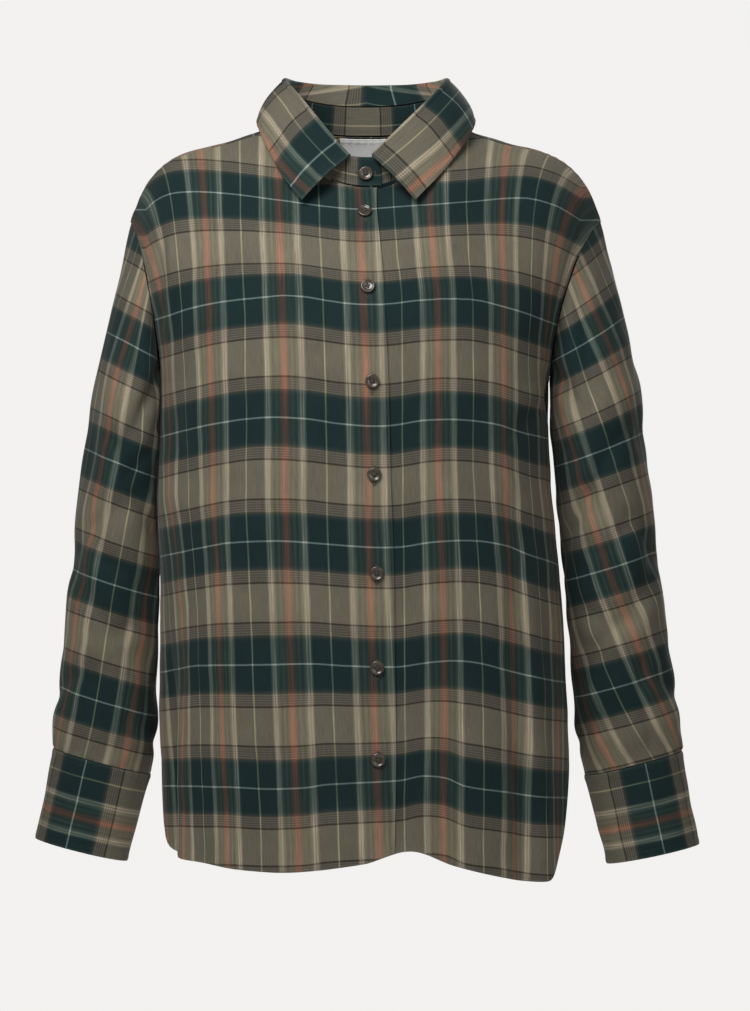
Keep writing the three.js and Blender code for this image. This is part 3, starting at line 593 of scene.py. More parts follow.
# The slight unevenness of soft cloth, the same on each run.
def rumple(a, b, seed, depth=0.45):
    rng = np.random.default_rng(seed)
    relief = np.zeros(np.shape(a))
    for _ in range(9):
        wave = rng.uniform(28, 95)
        turn = rng.uniform(0, math.pi)
        phase = rng.uniform(0, 2 * math.pi)
        relief += np.sin((a * math.cos(turn) + b * math.sin(turn)) * 2 * math.pi / wave + phase)
    return relief * depth / 3


# A stitched edge: a doubled band as wide as its stitch line, drawn in along the stitches.
def edgeBand(distance, width, runOf):
    band = 0.5 * (1 - smoothStep(width - 1, width + 1.5, distance))
    groove = -0.5 * bell(distance - width, 1.3)
    pucker = 0.28 * np.sin(runOf * 2 * math.pi / 7.3) * bell(distance - width * 0.7, width)
    return band + groove + pucker - 0.35 * bell(distance, 0.9)


print("stage: materials", flush=True)

# The check's repeats on flat cloth, in millimetres, with the cream line of the warp and the pale line
# of the weft both at zero.
sett = {"warp": 72.5, "weft": 109.5}


def nodesOf(material):
    material.use_nodes = True
    tree = material.node_tree
    tree.nodes.clear()
    return tree


def addNode(tree, kind, **settings):
    node = tree.nodes.new(kind)
    for name, value in settings.items():
        setattr(node, name, value)
    return node


def link(tree, source, target):
    tree.links.new(source, target)


def mathNode(tree, operation, *values):
    node = addNode(tree, "ShaderNodeMath", operation=operation)
    for socket, value in zip(node.inputs, values):
        if isinstance(value, (int, float)):
            socket.default_value = value
        else:
            link(tree, value, socket)
    return node.outputs[0]


def rampNode(tree, factor, stops):
    node = addNode(tree, "ShaderNodeValToRGB")
    elements = node.color_ramp.elements
    elements[0].position, elements[1].position = stops[0][0], stops[-1][0]
    elements[0].color, elements[1].color = (*stops[0][1], 1), (*stops[-1][1], 1)
    for position, colour in stops[1:-1]:
        elements.new(position).color = (*colour, 1)
    link(tree, factor, node.inputs[0])
    return node.outputs[0]


def mixNode(tree, blend, factor, a, b):
    node = addNode(tree, "ShaderNodeMix", data_type="RGBA", blend_type=blend)
    for socket, value in zip((node.inputs[0], node.inputs[6], node.inputs[7]), (factor, a, b)):
        if isinstance(value, (int, float)):
            socket.default_value = value
        elif isinstance(value, tuple):
            socket.default_value = (*value, 1)
        else:
            link(tree, value, socket)
    return node.outputs[2]


def noiseNode(tree, vector, scale, detail=2.0):
    node = addNode(tree, "ShaderNodeTexNoise")
    link(tree, vector, node.inputs["Vector"])
    node.inputs["Scale"].default_value = scale
    node.inputs["Detail"].default_value = detail
    return node.outputs["Fac"]


# Display values from 0 to 255, written as shares.
def shade(red, green, blue):
    return red / 255, green / 255, blue / 255


teal, oliveGround = shade(29, 46, 47), shade(105, 101, 88)
greyZone, greyLine, darkLine = shade(80, 77, 69), shade(106, 102, 92), shade(54, 51, 45)
weftPale = shade(96, 112, 110)
# Bands of the weft by distance from the pale line, as shares of half a repeat.
weftStops = [
    (0.0, weftPale), (0.009, weftPale), (0.018, teal), (0.385, teal), (0.43, shade(40, 53, 52)),
    (0.475, shade(68, 67, 61)),
]
for place in (0.49, 0.53, 0.57, 0.61, 0.645):
    weftStops += [(place - 0.011, greyZone), (place, greyLine), (place + 0.011, greyZone)]
weftStops += [
    (0.664, greyZone), (0.675, darkLine), (0.685, darkLine), (0.7, oliveGround), (1.0, oliveGround),
]
# What the warp adds, from one cream line to the next.
plainWarp, softWarp = (0.0, 0.0, 0.0), shade(20, 17, 12)
creamWarp, paleWarp, rustWarp = shade(46, 43, 28), shade(62, 55, 46), shade(46, 15, 7)
paleEdge, rustEdge = shade(38, 33, 27), shade(30, 12, 6)
warpStops = [
    (0.0, creamWarp), (0.006, creamWarp), (0.014, plainWarp), (0.228, plainWarp), (0.25, paleEdge),
    (0.262, paleWarp), (0.277, paleEdge), (0.292, paleWarp), (0.312, paleEdge), (0.335, softWarp),
    (0.362, shade(4, 6, 3)), (0.395, softWarp), (0.425, shade(8, 7, 3)), (0.452, rustEdge),
    (0.48, rustWarp), (0.51, rustWarp), (0.54, rustEdge), (0.568, shade(8, 7, 3)),
    (0.6, softWarp), (0.632, shade(4, 6, 3)), (0.66, softWarp), (0.685, paleEdge),
    (0.703, paleWarp), (0.718, paleEdge), (0.735, paleWarp), (0.748, paleEdge), (0.772, plainWarp),
    (0.986, plainWarp), (0.994, creamWarp), (1.0, creamWarp),
]


# How far the yarns wander in millimetres, and how much each kind of unevenness changes the colour.
yarnWander, napShare, slowShare, streakShare, rubbedShare = 1.6, 0.3, 0.16, 0.3, 0.16


# A multiplier that swings evenly about one with a noise, by the share given.
def swing(tree, noise, share):
    return mathNode(tree, "MULTIPLY_ADD", noise, share, 1 - share / 2)


def flannelMaterial():
    material = bpy.data.materials.new("flannel_check")
    tree = nodesOf(material)
    coordinates = addNode(tree, "ShaderNodeTexCoord").outputs["UV"]
    flat = addNode(tree, "ShaderNodeVectorMath", operation="SCALE")
    link(tree, coordinates, flat.inputs[0])
    flat.inputs["Scale"].default_value = 1 / mm
    flat = flat.outputs[0]
    apart = addNode(tree, "ShaderNodeSeparateXYZ")
    link(tree, flat, apart.inputs[0])
    # Yarns wander a little, so the lines aren't ruled.
    wander = mathNode(tree, "SUBTRACT", noiseNode(tree, flat, 0.02), 0.5)
    across = mathNode(tree, "ADD", apart.outputs[0], mathNode(tree, "MULTIPLY", wander, yarnWander))
    along = mathNode(tree, "SUBTRACT", apart.outputs[1], mathNode(tree, "MULTIPLY", wander, yarnWander))
    warpShare = mathNode(tree, "FRACT", mathNode(tree, "DIVIDE", across, sett["warp"]))
    weftShare = mathNode(
        tree, "PINGPONG", mathNode(tree, "DIVIDE", along, sett["weft"] / 2), 1.0
    )
    warp = rampNode(tree, warpShare, warpStops)
    weft = rampNode(tree, weftShare, weftStops)
    # Twill: the diagonal steps of the weave, where the warp or the weft shows on top.
    pitch = 0.9
    diagonal = mathNode(tree, "DIVIDE", mathNode(tree, "ADD", across, along), pitch)
    twill = mathNode(tree, "PINGPONG", diagonal, 1.0)
    yarnX = mathNode(tree, "PINGPONG", mathNode(tree, "DIVIDE", across, pitch / 2), 1.0)
    yarnY = mathNode(tree, "PINGPONG", mathNode(tree, "DIVIDE", along, pitch / 2), 1.0)
    topWarp = mathNode(tree, "MULTIPLY_ADD", twill, 0.7, 0.65)
    # Brushed nap: fine cloudy fibres, and a slow drift in depth of colour.
    nap = noiseNode(tree, flat, 0.9, 4.0)
    slow = noiseNode(tree, flat, 0.03, 3.0)
    streak = addNode(tree, "ShaderNodeVectorMath", operation="MULTIPLY")
    link(tree, flat, streak.inputs[0])
    streak.inputs[1].default_value = (1.4, 0.06, 1.0)
    streaks = noiseNode(tree, streak.outputs[0], 1.0, 2.0)
    # The warp is spun of mixed yarns, so its stripes are streaky lengthwise.
    finer = addNode(tree, "ShaderNodeVectorMath", operation="MULTIPLY")
    link(tree, flat, finer.inputs[0])
    finer.inputs[1].default_value = (0.85, 0.012, 1.0)
    mixedYarn = mathNode(tree, "MULTIPLY_ADD", noiseNode(tree, finer.outputs[0], 1.0, 3.0), 2.2, -0.1)
    topWarp = mathNode(tree, "MULTIPLY", topWarp, mixedYarn)
    shown = mixNode(tree, "MULTIPLY", 1.0, warp, topWarp)
    summed = mixNode(tree, "ADD", 1.0, weft, shown)
    level = swing(tree, nap, napShare)
    level = mathNode(tree, "MULTIPLY", level, swing(tree, slow, slowShare))
    level = mathNode(tree, "MULTIPLY", level, swing(tree, streaks, streakShare))
    coloured = mixNode(tree, "MULTIPLY", 1.0, summed, level)
    # Edges and seams are rubbed a little paler.
    wear = addNode(tree, "ShaderNodeAttribute", attribute_name="wear")
    rubbed = mathNode(tree, "MULTIPLY", wear.outputs["Fac"], rubbedShare)
    worn = mixNode(tree, "MIX", rubbed, coloured, shade(150, 146, 132))
    light = addNode(tree, "ShaderNodeGamma")
    link(tree, worn, light.inputs[0])
    light.inputs[1].default_value = 2.2
    shader = addNode(tree, "ShaderNodeBsdfPrincipled")
    link(tree, light.outputs[0], shader.inputs["Base Color"])
    roughness = mathNode(tree, "MULTIPLY_ADD", nap, 0.12, 0.84)
    link(tree, roughness, shader.inputs["Roughness"])
    shader.inputs["Specular IOR Level"].default_value = 0.2
    shader.inputs["Sheen Weight"].default_value = 0.12
    shader.inputs["Sheen Roughness"].default_value = 0.45
    shader.inputs["Sheen Tint"].default_value = (0.75, 0.78, 0.74, 1)
    weave = mathNode(tree, "MULTIPLY", mathNode(tree, "ADD", yarnX, yarnY), 0.25)
    height = mathNode(tree, "ADD", weave, mathNode(tree, "MULTIPLY", nap, 0.9))
    height = mathNode(tree, "ADD", height, mathNode(tree, "MULTIPLY", twill, 0.35))
    bump = addNode(tree, "ShaderNodeBump")
    link(tree, height, bump.inputs["Height"])
    bump.inputs["Strength"].default_value = 0.4
    bump.inputs["Distance"].default_value = 0.00025
    link(tree, bump.outputs[0], shader.inputs["Normal"])
    output = addNode(tree, "ShaderNodeOutputMaterial")
    link(tree, shader.outputs[0], output.inputs[0])
    return material


# Plain finishes for thread, tape and horn, each with its own grain.
def grainMaterial(name, base, other, roughness, scale, bumpDepth, coat=0.0, stretch=(1.0, 1.0, 1.0)):
    material = bpy.data.materials.new(name)
    tree = nodesOf(material)
    place = addNode(tree, "ShaderNodeTexCoord").outputs["Object"]
    stretched = addNode(tree, "ShaderNodeVectorMath", operation="MULTIPLY")
    link(tree, place, stretched.inputs[0])
    stretched.inputs[1].default_value = stretch
    grain = noiseNode(tree, stretched.outputs[0], scale, 4.0)
    colour = mixNode(tree, "MIX", mathNode(tree, "MULTIPLY", grain, 1.0), base, other)
    shader = addNode(tree, "ShaderNodeBsdfPrincipled")
    link(tree, colour, shader.inputs["Base Color"])
    uneven = mathNode(tree, "MULTIPLY_ADD", grain, 0.15, roughness - 0.07)
    link(tree, uneven, shader.inputs["Roughness"])
    shader.inputs["Coat Weight"].default_value = coat
    shader.inputs["Coat Roughness"].default_value = 0.12
    bump = addNode(tree, "ShaderNodeBump")
    link(tree, grain, bump.inputs["Height"])
    bump.inputs["Strength"].default_value = 0.5
    bump.inputs["Distance"].default_value = bumpDepth
    link(tree, bump.outputs[0], shader.inputs["Normal"])
    output = addNode(tree, "ShaderNodeOutputMaterial")
    link(tree, shader.outputs[0], output.inputs[0])
    return material


flannel = flannelMaterial()
threadFinish = grainMaterial(
    "sewing_thread", (0.035, 0.04, 0.033), (0.075, 0.08, 0.065), 0.7, 2600.0, 0.0001
)
holeThreadFinish = grainMaterial(
    "buttonhole_thread", (0.045, 0.042, 0.03), (0.1, 0.092, 0.07), 0.7, 2400.0, 0.0001
)
labelFinish = grainMaterial(
    "woven_tape", (0.78, 0.78, 0.76), (0.9, 0.9, 0.88), 0.75, 900.0, 0.0001, 0.0, (1.0, 1.0, 3.0)
)
hornFinish = grainMaterial(
    "dark_horn", (0.02, 0.016, 0.012), (0.11, 0.085, 0.06), 0.24, 160.0, 0.00003, 0.6, (1.0, 1.0, 0.3)
)


print("stage: cloth", flush=True)

collection = bpy.context.scene.collection


def objectFrom(name, mesh):
    made = bpy.data.objects.new(name, mesh)
    collection.objects.link(made)
    return made


# Turns an object with modifiers into a plain mesh.
def settle(made):
    graph = bpy.context.evaluated_depsgraph_get()
    mesh = bpy.data.meshes.new_from_object(made.evaluated_get(graph))
    made.modifiers.clear()
    old = made.data
    made.data = mesh
    bpy.data.meshes.remove(old)
    mesh.name = made.name
    return made


def surfaceOf(base, relief, facing):
    def pointAt(a, b, lift=0.0):
        a, b = np.broadcast_arrays(np.asarray(a, float), np.asarray(b, float))
        point = base(a, b)
        normal = squareTo(base, a, b, facing)
        return point + normal * (relief(a, b, point) + lift)[..., None], normal
    return pointAt


# One sewn piece as a thin shell on its surface. The grid's places are a and b, row by row, and a closed
# grid's last column meets its first.
def clothPiece(piece, surface, a, b, cloth, wear, closed=False):
    points, normals = surface(a, b)
    rows, columns = points.shape[:2]
    warp, weft = cloth(a, b, points)
    used = columns - 1 if closed else columns
    i, j = np.meshgrid(np.arange(rows - 1), np.arange(columns - 1), indexing="ij")
    i, j = i.ravel(), j.ravel()
    nextJ = (j + 1) % used
    corners = [(i, j, j), (i + 1, j, j), (i + 1, j + 1, nextJ), (i, j + 1, nextJ)]
    m, n = rows // 2, columns // 2
    down = points[m + 1, n] - points[m, n]
    across = points[m, n + 1] - points[m, n]
    if np.dot(np.cross(down, across), normals[m, n]) < 0:
        corners.reverse()
    faces = np.stack([row * used + column for row, _, column in corners], axis=1)
    mesh = bpy.data.meshes.new(piece["name"])
    mesh.from_pydata((points[:, :used].reshape(-1, 3) * mm).tolist(), [], faces.tolist())
    layer = mesh.uv_layers.new(name="cloth")
    uv = np.stack([[warp[row, place], weft[row, place]] for row, place, _ in corners], axis=0)
    layer.data.foreach_set("uv", (uv.transpose(2, 0, 1).reshape(-1) * mm).astype(np.float32))
    worn = mesh.attributes.new("wear", "FLOAT", "POINT")
    worn.data.foreach_set("value", wear[:, :used].ravel().astype(np.float32))
    made = objectFrom(piece["name"], mesh)
    shell = made.modifiers.new("shell", "SOLIDIFY")
    shell.thickness = wallThickness * mm
    shell.offset = 0
    settle(made)
    mesh = made.data
    mesh.shade_smooth()
    mesh.set_sharp_from_angle(angle=math.radians(50))
    mesh.materials.clear()
    mesh.materials.append(piece["finish"])
    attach(made, "root")
    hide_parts(piece["node"])
    steps = np.cross(points[1:, :-1] - points[:-1, :-1], points[:-1, 1:] - points[:-1, :-1])
    area = np.linalg.norm(steps, axis=-1).sum() * mm * mm
    low, high = points.min(axis=(0, 1)), points.max(axis=(0, 1))
    print(f"{piece['name']}: {len(mesh.polygons)} faces, {area:.4f} m2, {low.round()} {high.round()}")
    return made


def arcAlong(points, axis):
    steps = np.linalg.norm(np.diff(points, axis=axis), axis=-1)
    start = np.zeros_like(np.take(steps, [0], axis=axis))
    return np.concatenate([start, np.cumsum(steps, axis=axis)], axis=axis)


def levelAtTurn(turn):
    return (1 + np.cos(turn)) / 2


# The pale lines of the weft across the fronts, as the camera sees them, from the top down: x and z.
weftLines = [
    [(-211, -79), (-196, -64), (-177, -57), (-139, -57), (-80, -64), (-15, -72), (32, -70), (88, -66),
     (147, -62), (177, -69), (203, -84)],
    [(-189, -173), (-168, -166), (-137, -159), (-102, -155), (-68, -153), (-16, -160), (13, -161),
     (54, -157), (93, -156), (113, -159), (145, -168), (170, -177)],
    [(-192, -285), (-142, -273), (-102, -267), (-58, -268), (-21, -273), (18, -275), (58, -269),
     (92, -269), (125, -274), (145, -281), (167, -286)],
    [(-192, -397), (-165, -391), (-128, -384), (-88, -382), (-62, -383), (-15, -387), (28, -388),
     (65, -383), (98, -382), (132, -387), (152, -395), (178, -404)],
    [(-192, -505), (-158, -499), (-102, -498), (-52, -497), (-15, -499), (28, -500), (65, -495),
     (98, -495), (135, -504), (165, -511), (185, -514)],
    [(-185, -611), (-135, -612), (-92, -614), (-58, -613), (-38, -610), (-2, -608), (32, -606),
     (52, -602), (75, -604), (92, -611), (125, -616), (159, -621), (182, -622)],
]
topWeftGap = 88
bottomWeftGap = 110
# How far the warp runs sideways on its way down: z and millimetres to the right.
warpDrift = {
    -1: [(-40, 0), (-73, 1.7), (-205, 7.7), (-412, 12), (-650, 20)],
    1: [(-40, -3), (-73, -1.9), (-120, 2), (-165, 7), (-400, 7.3), (-650, 6)],
}
warpPull = {-1: (0.4, 0.95, 58, -200, -520), 1: (0.5, 0.95, -24, -400, -660)}
creamLine = 28.5


def frontCloth(side):
    def cloth(a, b, points):
        x, z = seenAt(points)
        x = np.clip(x, -205, 200)
        lines = [curveThrough(rows, x) for rows in weftLines]
        lines = [lines[0] + topWeftGap, *lines, lines[-1] - bottomWeftGap]
        weft = np.zeros_like(z)
        for k, (upper, lower) in enumerate(zip(lines[:-1], lines[1:])):
            part = (upper - z) / (upper - lower)
            low = -1e9 if k == 0 else 0
            high = 1e9 if k == len(lines) - 2 else 1
            here = (part >= low) & (part < high)
            weft = np.where(here, -(k + part) * sett["weft"], weft)
        start, full, pull, top, bottom = warpPull[side]
        share = smoothStep(start, full, side * a)
        drift = curveThrough(warpDrift[side], points[..., 2])
        drift = drift + pull * share * smoothStep(-top, -bottom, -points[..., 2])
        return a * halfGirth - drift - creamLine, weft
    return cloth


# Creases of the fronts as the camera sees them: path in x and z, half width, depth, heaped side.
frontCreases = {
    -1: [
        ([(-172, -430), (-173, -540), (-169, -672)], 6, 3.2, -1),
        ([(-191, -85), (-191, -130), (-189, -185)], 5, 3.0, 1),
        ([(-150, -96), (-172, -150), (-181, -215)], 8, 1.6, 1),
        ([(-102, -370), (-97, -520), (-90, -676)], 14, 1.8, -1),
        ([(-46, -430), (-42, -560), (-40, -674)], 12, 1.4, 1),
        ([(-60, -75), (-95, -130), (-120, -210)], 13, 1.2, -1),
        ([(-184, -236), (-176, -290), (-160, -350)], 9, 1.8, -1),
        ([(-8, -175), (-40, -205), (-80, -222)], 8, 0.8, 1),
        ([(-130, -560), (-126, -620), (-128, -676)], 9, 1.6, 1),
    ],
    1: [
        ([(131, -325), (140, -420), (146, -500), (144, -600), (145, -682)], 7, 3.6, -1),
        ([(203, -84), (190, -140), (181, -190)], 6, 3.4, 1),
        ([(178, -292), (173, -250), (166, -212)], 7, 2.4, 1),
        ([(180, -236), (160, -262), (128, -292)], 8, 1.5, -1),
        ([(91, -410), (87, -560), (85, -674)], 14, 1.8, 1),
        ([(36, -610), (37, -650), (34, -673)], 7, 2.0, -1),
        ([(44, -200), (46, -330), (42, -470)], 12, 1.2, 1),
        ([(66, -80), (104, -130), (132, -200)], 13, 1.2, 1),
        ([(163, -520), (166, -590), (160, -660)], 8, 2.2, -1),
    ],
}
hemStitch = 6.5
seamStitch = 5.5


def hemDistance(face, u, level):
    distance = (level + 1) * (underarmHeight - hemHeight(face, u))
    return np.where(level < 0, distance, 999.0)


def armholeDistance(face, u, level):
    reach = armholeShare(face, level)
    return np.where(level > 0, (reach - np.abs(u)) * halfGirth, 999.0)


def frontRelief(side):
    def relief(a, b, point):
        x, z = seenAt(point)
        hem = hemDistance("front", a, b)
        edge = np.abs(a - frontEdgeShare(side, b)) * halfGirth
        edge = np.where(b <= frontNeckLevel, edge, 999.0)
        arm = armholeDistance("front", a, b)
        raised = creaseRelief(x, z, frontCreases[side]) * smoothStep(0, 12, arm)
        raised = raised * smoothStep(0, 18, edge) + rumple(x, z, 11 + side) * smoothStep(0, 20, edge)
        raised = raised * smoothStep(-0.5, 14, hem) + edgeBand(hem, hemStitch, x)
        return raised + edgeBand(arm, seamStitch, z) - 0.4 * bell(edge, 1.2)
    return relief


def edgeWear(*distances):
    wear = 0
    for distance in distances:
        wear = np.maximum(wear, np.exp(-np.maximum(distance, 0) / 1.3))
    return wear


def frontGrid(side, neckRows, chestRows, skirtRows, columns):
    turns = np.linspace(0, math.pi, neckRows + chestRows + 1)
    inner = []
    for i in range(len(turns)):
        if i < neckRows:
            neckTurn = math.pi / 2 * (1 - i / neckRows)
            level = 1 - (1 - frontNeckLevel) * math.cos(neckTurn)
            inner.append((side * neckShare["front"] * math.sin(neckTurn), level))
        else:
            level = frontNeckLevel * (1 - (i - neckRows) / chestRows)
            inner.append((float(frontEdgeShare(side, np.array(level))), level))
    outerLevels = list(levelAtTurn(turns))
    for level in np.linspace(0, -1, skirtRows + 1)[1:]:
        inner.append((float(frontEdgeShare(side, np.array(level))), level))
        outerLevels.append(level)
    outerLevels = np.array(outerLevels)
    outer = side * armholeShare("front", outerLevels)
    t = np.linspace(0, 1, columns + 1)
    inner = np.array(inner)
    a = inner[:, :1] + (outer[:, None] - inner[:, :1]) * t
    b = inner[:, 1:] + (outerLevels[:, None] - inner[:, 1:]) * t
    return a, b


frontPieces = {
    -1: {
        "name": "front_over_cloth", "node": "front_over", "slot": "flannel", "finish": flannel,
        "flat": (0.29, 0.70), "area": 0.178, "held": "hung", "restsOn": ["yoke_cloth"],
    },
    1: {
        "name": "front_under_cloth", "node": "front_under", "slot": "flannel", "finish": flannel,
        "flat": (0.29, 0.71), "area": 0.178, "held": "hung", "restsOn": ["yoke_cloth"],
    },
}
frontSurfaces = {side: surfaceOf(frontBase(side), frontRelief(side), 1) for side in (-1, 1)}
for side, piece in frontPieces.items():
    a, b = frontGrid(side, 40, 48, 104, 64)
    edge = np.where(b <= frontNeckLevel, np.abs(a - frontEdgeShare(side, b)) * halfGirth, 999.0)
    wear = edgeWear(hemDistance("front", a, b), edge, armholeDistance("front", a, b) + 1)
    clothPiece(piece, frontSurfaces[side], a, b, frontCloth(side), wear)

# The back hangs from the yoke's seam, with two soft pleats' worth of fullness let into it.
backCreases = [
    ([(-62, -100), (-66, -220), (-58, -380)], 9, 2.6, 1),
    ([(58, -100), (60, -240), (52, -420)], 9, 2.6, -1),
    ([(-150, -230), (-128, -300), (-95, -345)], 9, 2.2, 1),
    ([(152, -225), (130, -310), (88, -352)], 9, 2.2, -1),
    ([(-140, -420), (-134, -540), (-138, -660)], 9, 3.2, 1),
    ([(120, -400), (130, -540), (126, -668)], 9, 3.0, -1),
    ([(-30, -450), (-24, -560), (-28, -672)], 12, 2.2, 1),
    ([(178, -120), (172, -180), (176, -232)], 6, 2.6, -1),
    ([(-178, -120), (-172, -180), (-178, -232)], 6, 2.6, 1),
]


def backRelief(a, b, point):
    x, z = point[..., 0], point[..., 2]
    hem = hemDistance("back", a, b)
    arm = armholeDistance("back", a, b)
    seam = yokeSeamHeight - z
    raised = (creaseRelief(x, z, backCreases) + rumple(x, z, 21)) * smoothStep(0, 12, arm)
    raised = raised * smoothStep(-0.5, 14, hem) * smoothStep(0, 10, seam)
    raised = raised + edgeBand(hem, hemStitch, x) + edgeBand(arm, seamStitch, z)
    return raised - 0.3 * bell(seam, 1.5)


def backCloth(a, b, points):
    fromTop = arcAlong(points, 0)
    underarm = np.array([np.interp(0, -b[:, j], fromTop[:, j]) for j in range(b.shape[1])])
    drop = fromTop - underarm
    return a * girthTables["back"][2] - 14, -2.57 * sett["weft"] - drop * sett["weft"] / 111


backTurns = np.linspace(yokeTurn, math.pi, 57)
backColumns = np.linspace(1, -1, 113)
backTop = levelAtTurn(backTurns)[:, None]
backReach = armholeShare("back", backTop)
backA = np.concatenate([backReach * backColumns, np.tile(backColumns, (104, 1))])
backShare = backTop / levelAtTurn(yokeTurn)
seamShare = np.minimum(np.abs(backReach * backColumns), tipShare["back"])
seamLevel = levelAtHeight("back", seamShare, yokeSeamHeight)
backB = np.concatenate([
    backShare * seamLevel, np.tile(np.linspace(0, -1, 105)[1:, None], (1, len(backColumns))),
])
backPiece = {
    "name": "back_cloth", "node": "back", "slot": "flannel", "finish": flannel,
    "flat": (0.50, 0.60), "area": 0.27, "held": "hung", "restsOn": ["yoke_cloth"],
}
backSurface = surfaceOf(backBase, backRelief, -1)
wear = edgeWear(hemDistance("back", backA, backB), armholeDistance("back", backA, backB) + 1)
clothPiece(backPiece, backSurface, backA, backB, backCloth, wear)


# The yoke's depth over the shoulder, from its back seam to its front one.
yokeFall = 110


def yokeRelief(a, b, point):
    x, z = point[..., 0], point[..., 2]
    seam = b * yokeFall
    front = (1 - b) * yokeFall
    arm = (tipShare["back"] - np.abs(a)) * halfGirth
    raised = rumple(x, point[..., 1] - z, 31, 0.35) * smoothStep(0, 14, seam) * smoothStep(0, 14, front)
    pressed = edgeBand(seam, seamStitch, x) + edgeBand(front, seamStitch, x)
    return raised + pressed + edgeBand(arm, seamStitch, z)


def yokeCloth(a, b, points):
    return -arcAlong(points, 0) + 40, points[..., 0] - 114


yokeA = np.tile(np.linspace(tipShare["back"], -tipShare["back"], 129), (45, 1))
yokeLevels = levelAtTurn(np.linspace(0, yokeTurn, 45))
yokeStart = levelAtTurn(yokeTurn)
yokeB = np.tile(((yokeLevels - yokeStart) / (1 - yokeStart))[:, None], (1, 129))
yokePiece = {
    "name": "yoke_cloth", "node": "yoke", "slot": "flannel", "finish": flannel,
    "flat": (0.47, 0.15), "area": 0.056, "held": "stretched", "restsOn": ["back_cloth"],
}
yokeSurface = surfaceOf(yokeBase, yokeRelief, -1)
wear = edgeWear(yokeB * yokeFall, (1 - yokeB) * yokeFall)
clothPiece(yokePiece, yokeSurface, yokeA, yokeB, yokeCloth, wear)


print("stage: collar", flush=True)


# The stand's ends lap at the front, with rounded top corners.
def standGrid(columns, rows):
    shares = np.concatenate([
        np.linspace(standEnd, 1, columns // 8 + 1),
        np.linspace(1, -1, columns)[1:-1],
        np.linspace(-1, -standEnd, columns // 8 + 1),
    ])
    ups = np.linspace(1, 0, rows + 1)
    fromEnd = (standEnd - np.abs(shares)) * standSpread * (math.pi / 2) / (1 - backNeckPart)
    corner = np.minimum(fromEnd / 9, 1)
    rounded = np.sqrt(np.maximum(1 - (1 - corner) ** 2, 0))
    return np.tile(shares, (rows + 1, 1)), ups[:, None] * (0.3 + 0.7 * rounded)


def standRelief(a, b, point):
    top = (1 - b) * standHeight
    foot = b * standHeight
    return rumple(a * 200, b * 26, 41, 0.25) + edgeBand(foot, 3.5, a * 200) - 0.3 * bell(top, 1.0)


def standCloth(a, b, points):
    run = np.tile(arcAlong(points, 1)[-1:], (a.shape[0], 1))
    middle = run[:, run.shape[1] // 2][:, None]
    return b * standHeight - 9, middle - run + 56.75


standPiece = {
    "name": "collar_stand_cloth", "node": "collar_stand", "slot": "flannel", "finish": flannel,
    "flat": (0.45, 0.027), "area": 0.0115, "held": "stretched", "restsOn": ["yoke_cloth"],
}
standA, standB = standGrid(200, 14)
standSurface = surfaceOf(standBase, standRelief, -1)
clothPiece(standPiece, standSurface, standA, standB, standCloth, edgeWear((1 - standB) * 26, standB * 26))

collarStitch = 6.0
leafWidth = 62
leafHalfLength = 214


def leafRelief(a, b, point):
    edge = (1 - b) * leafWidth / (1 - leafRollEnd)
    ends = (1 - np.abs(a)) * leafHalfLength
    nearest = np.minimum(edge, ends)
    band = edgeBand(nearest, collarStitch, np.where(edge < ends, a * leafHalfLength, edge))
    soft = rumple(a * leafHalfLength, b * 80, 51, 0.5) * smoothStep(0, 10, nearest)
    sag = -1.4 * bell(np.abs(a) - 0.78, 0.1) * bell(b - 0.72, 0.16)
    return (band + soft + sag) * smoothStep(leafRollStart - 0.02, leafRollEnd + 0.12, b)


def leafCloth(a, b, points):
    fallen = arcAlong(points, 0)
    toEdge = fallen[-1:] - fallen
    part = np.abs(a)
    run = arcAlong(points, 1)[b.shape[0] * 2 // 3]
    share = (run[-1] - run) / run[-1]
    return toEdge - (15 + 31.5 * part), np.tile(-15 + 429 * share, (a.shape[0], 1))


leafFalls = np.concatenate([
    np.linspace(0, leafRollStart, 9)[:-1], np.linspace(leafRollStart, leafRollEnd, 11)[:-1],
    np.linspace(leafRollEnd, 1, 37),
])
leafA, leafB = np.meshgrid(np.linspace(1, -1, 181), leafFalls)
leafPiece = {
    "name": "collar_leaf_cloth", "node": "collar_leaf", "slot": "flannel", "finish": flannel,
    "flat": (0.44, 0.085), "area": 0.035, "held": "folded", "restsOn": ["collar_stand_cloth"],
}
leafSurface = surfaceOf(leafBase, leafRelief, 1)
rollMiddle, leafAllRound = (leafRollStart + leafRollEnd) / 2, 90
wear = edgeWear(
    (1 - leafB) * leafWidth / (1 - leafRollEnd), (1 - np.abs(leafA)) * leafHalfLength,
    np.abs(leafB - rollMiddle) * leafAllRound,
)
clothPiece(leafPiece, leafSurface, leafA, leafB, leafCloth, wear)

print("stage: sleeves", flush=True)

# The placket strip's lift off the sleeve, its stitching, and millimetres to a radian at the slit.
stripLift, stripStitch, slitRadius = 0.9, 3, 45

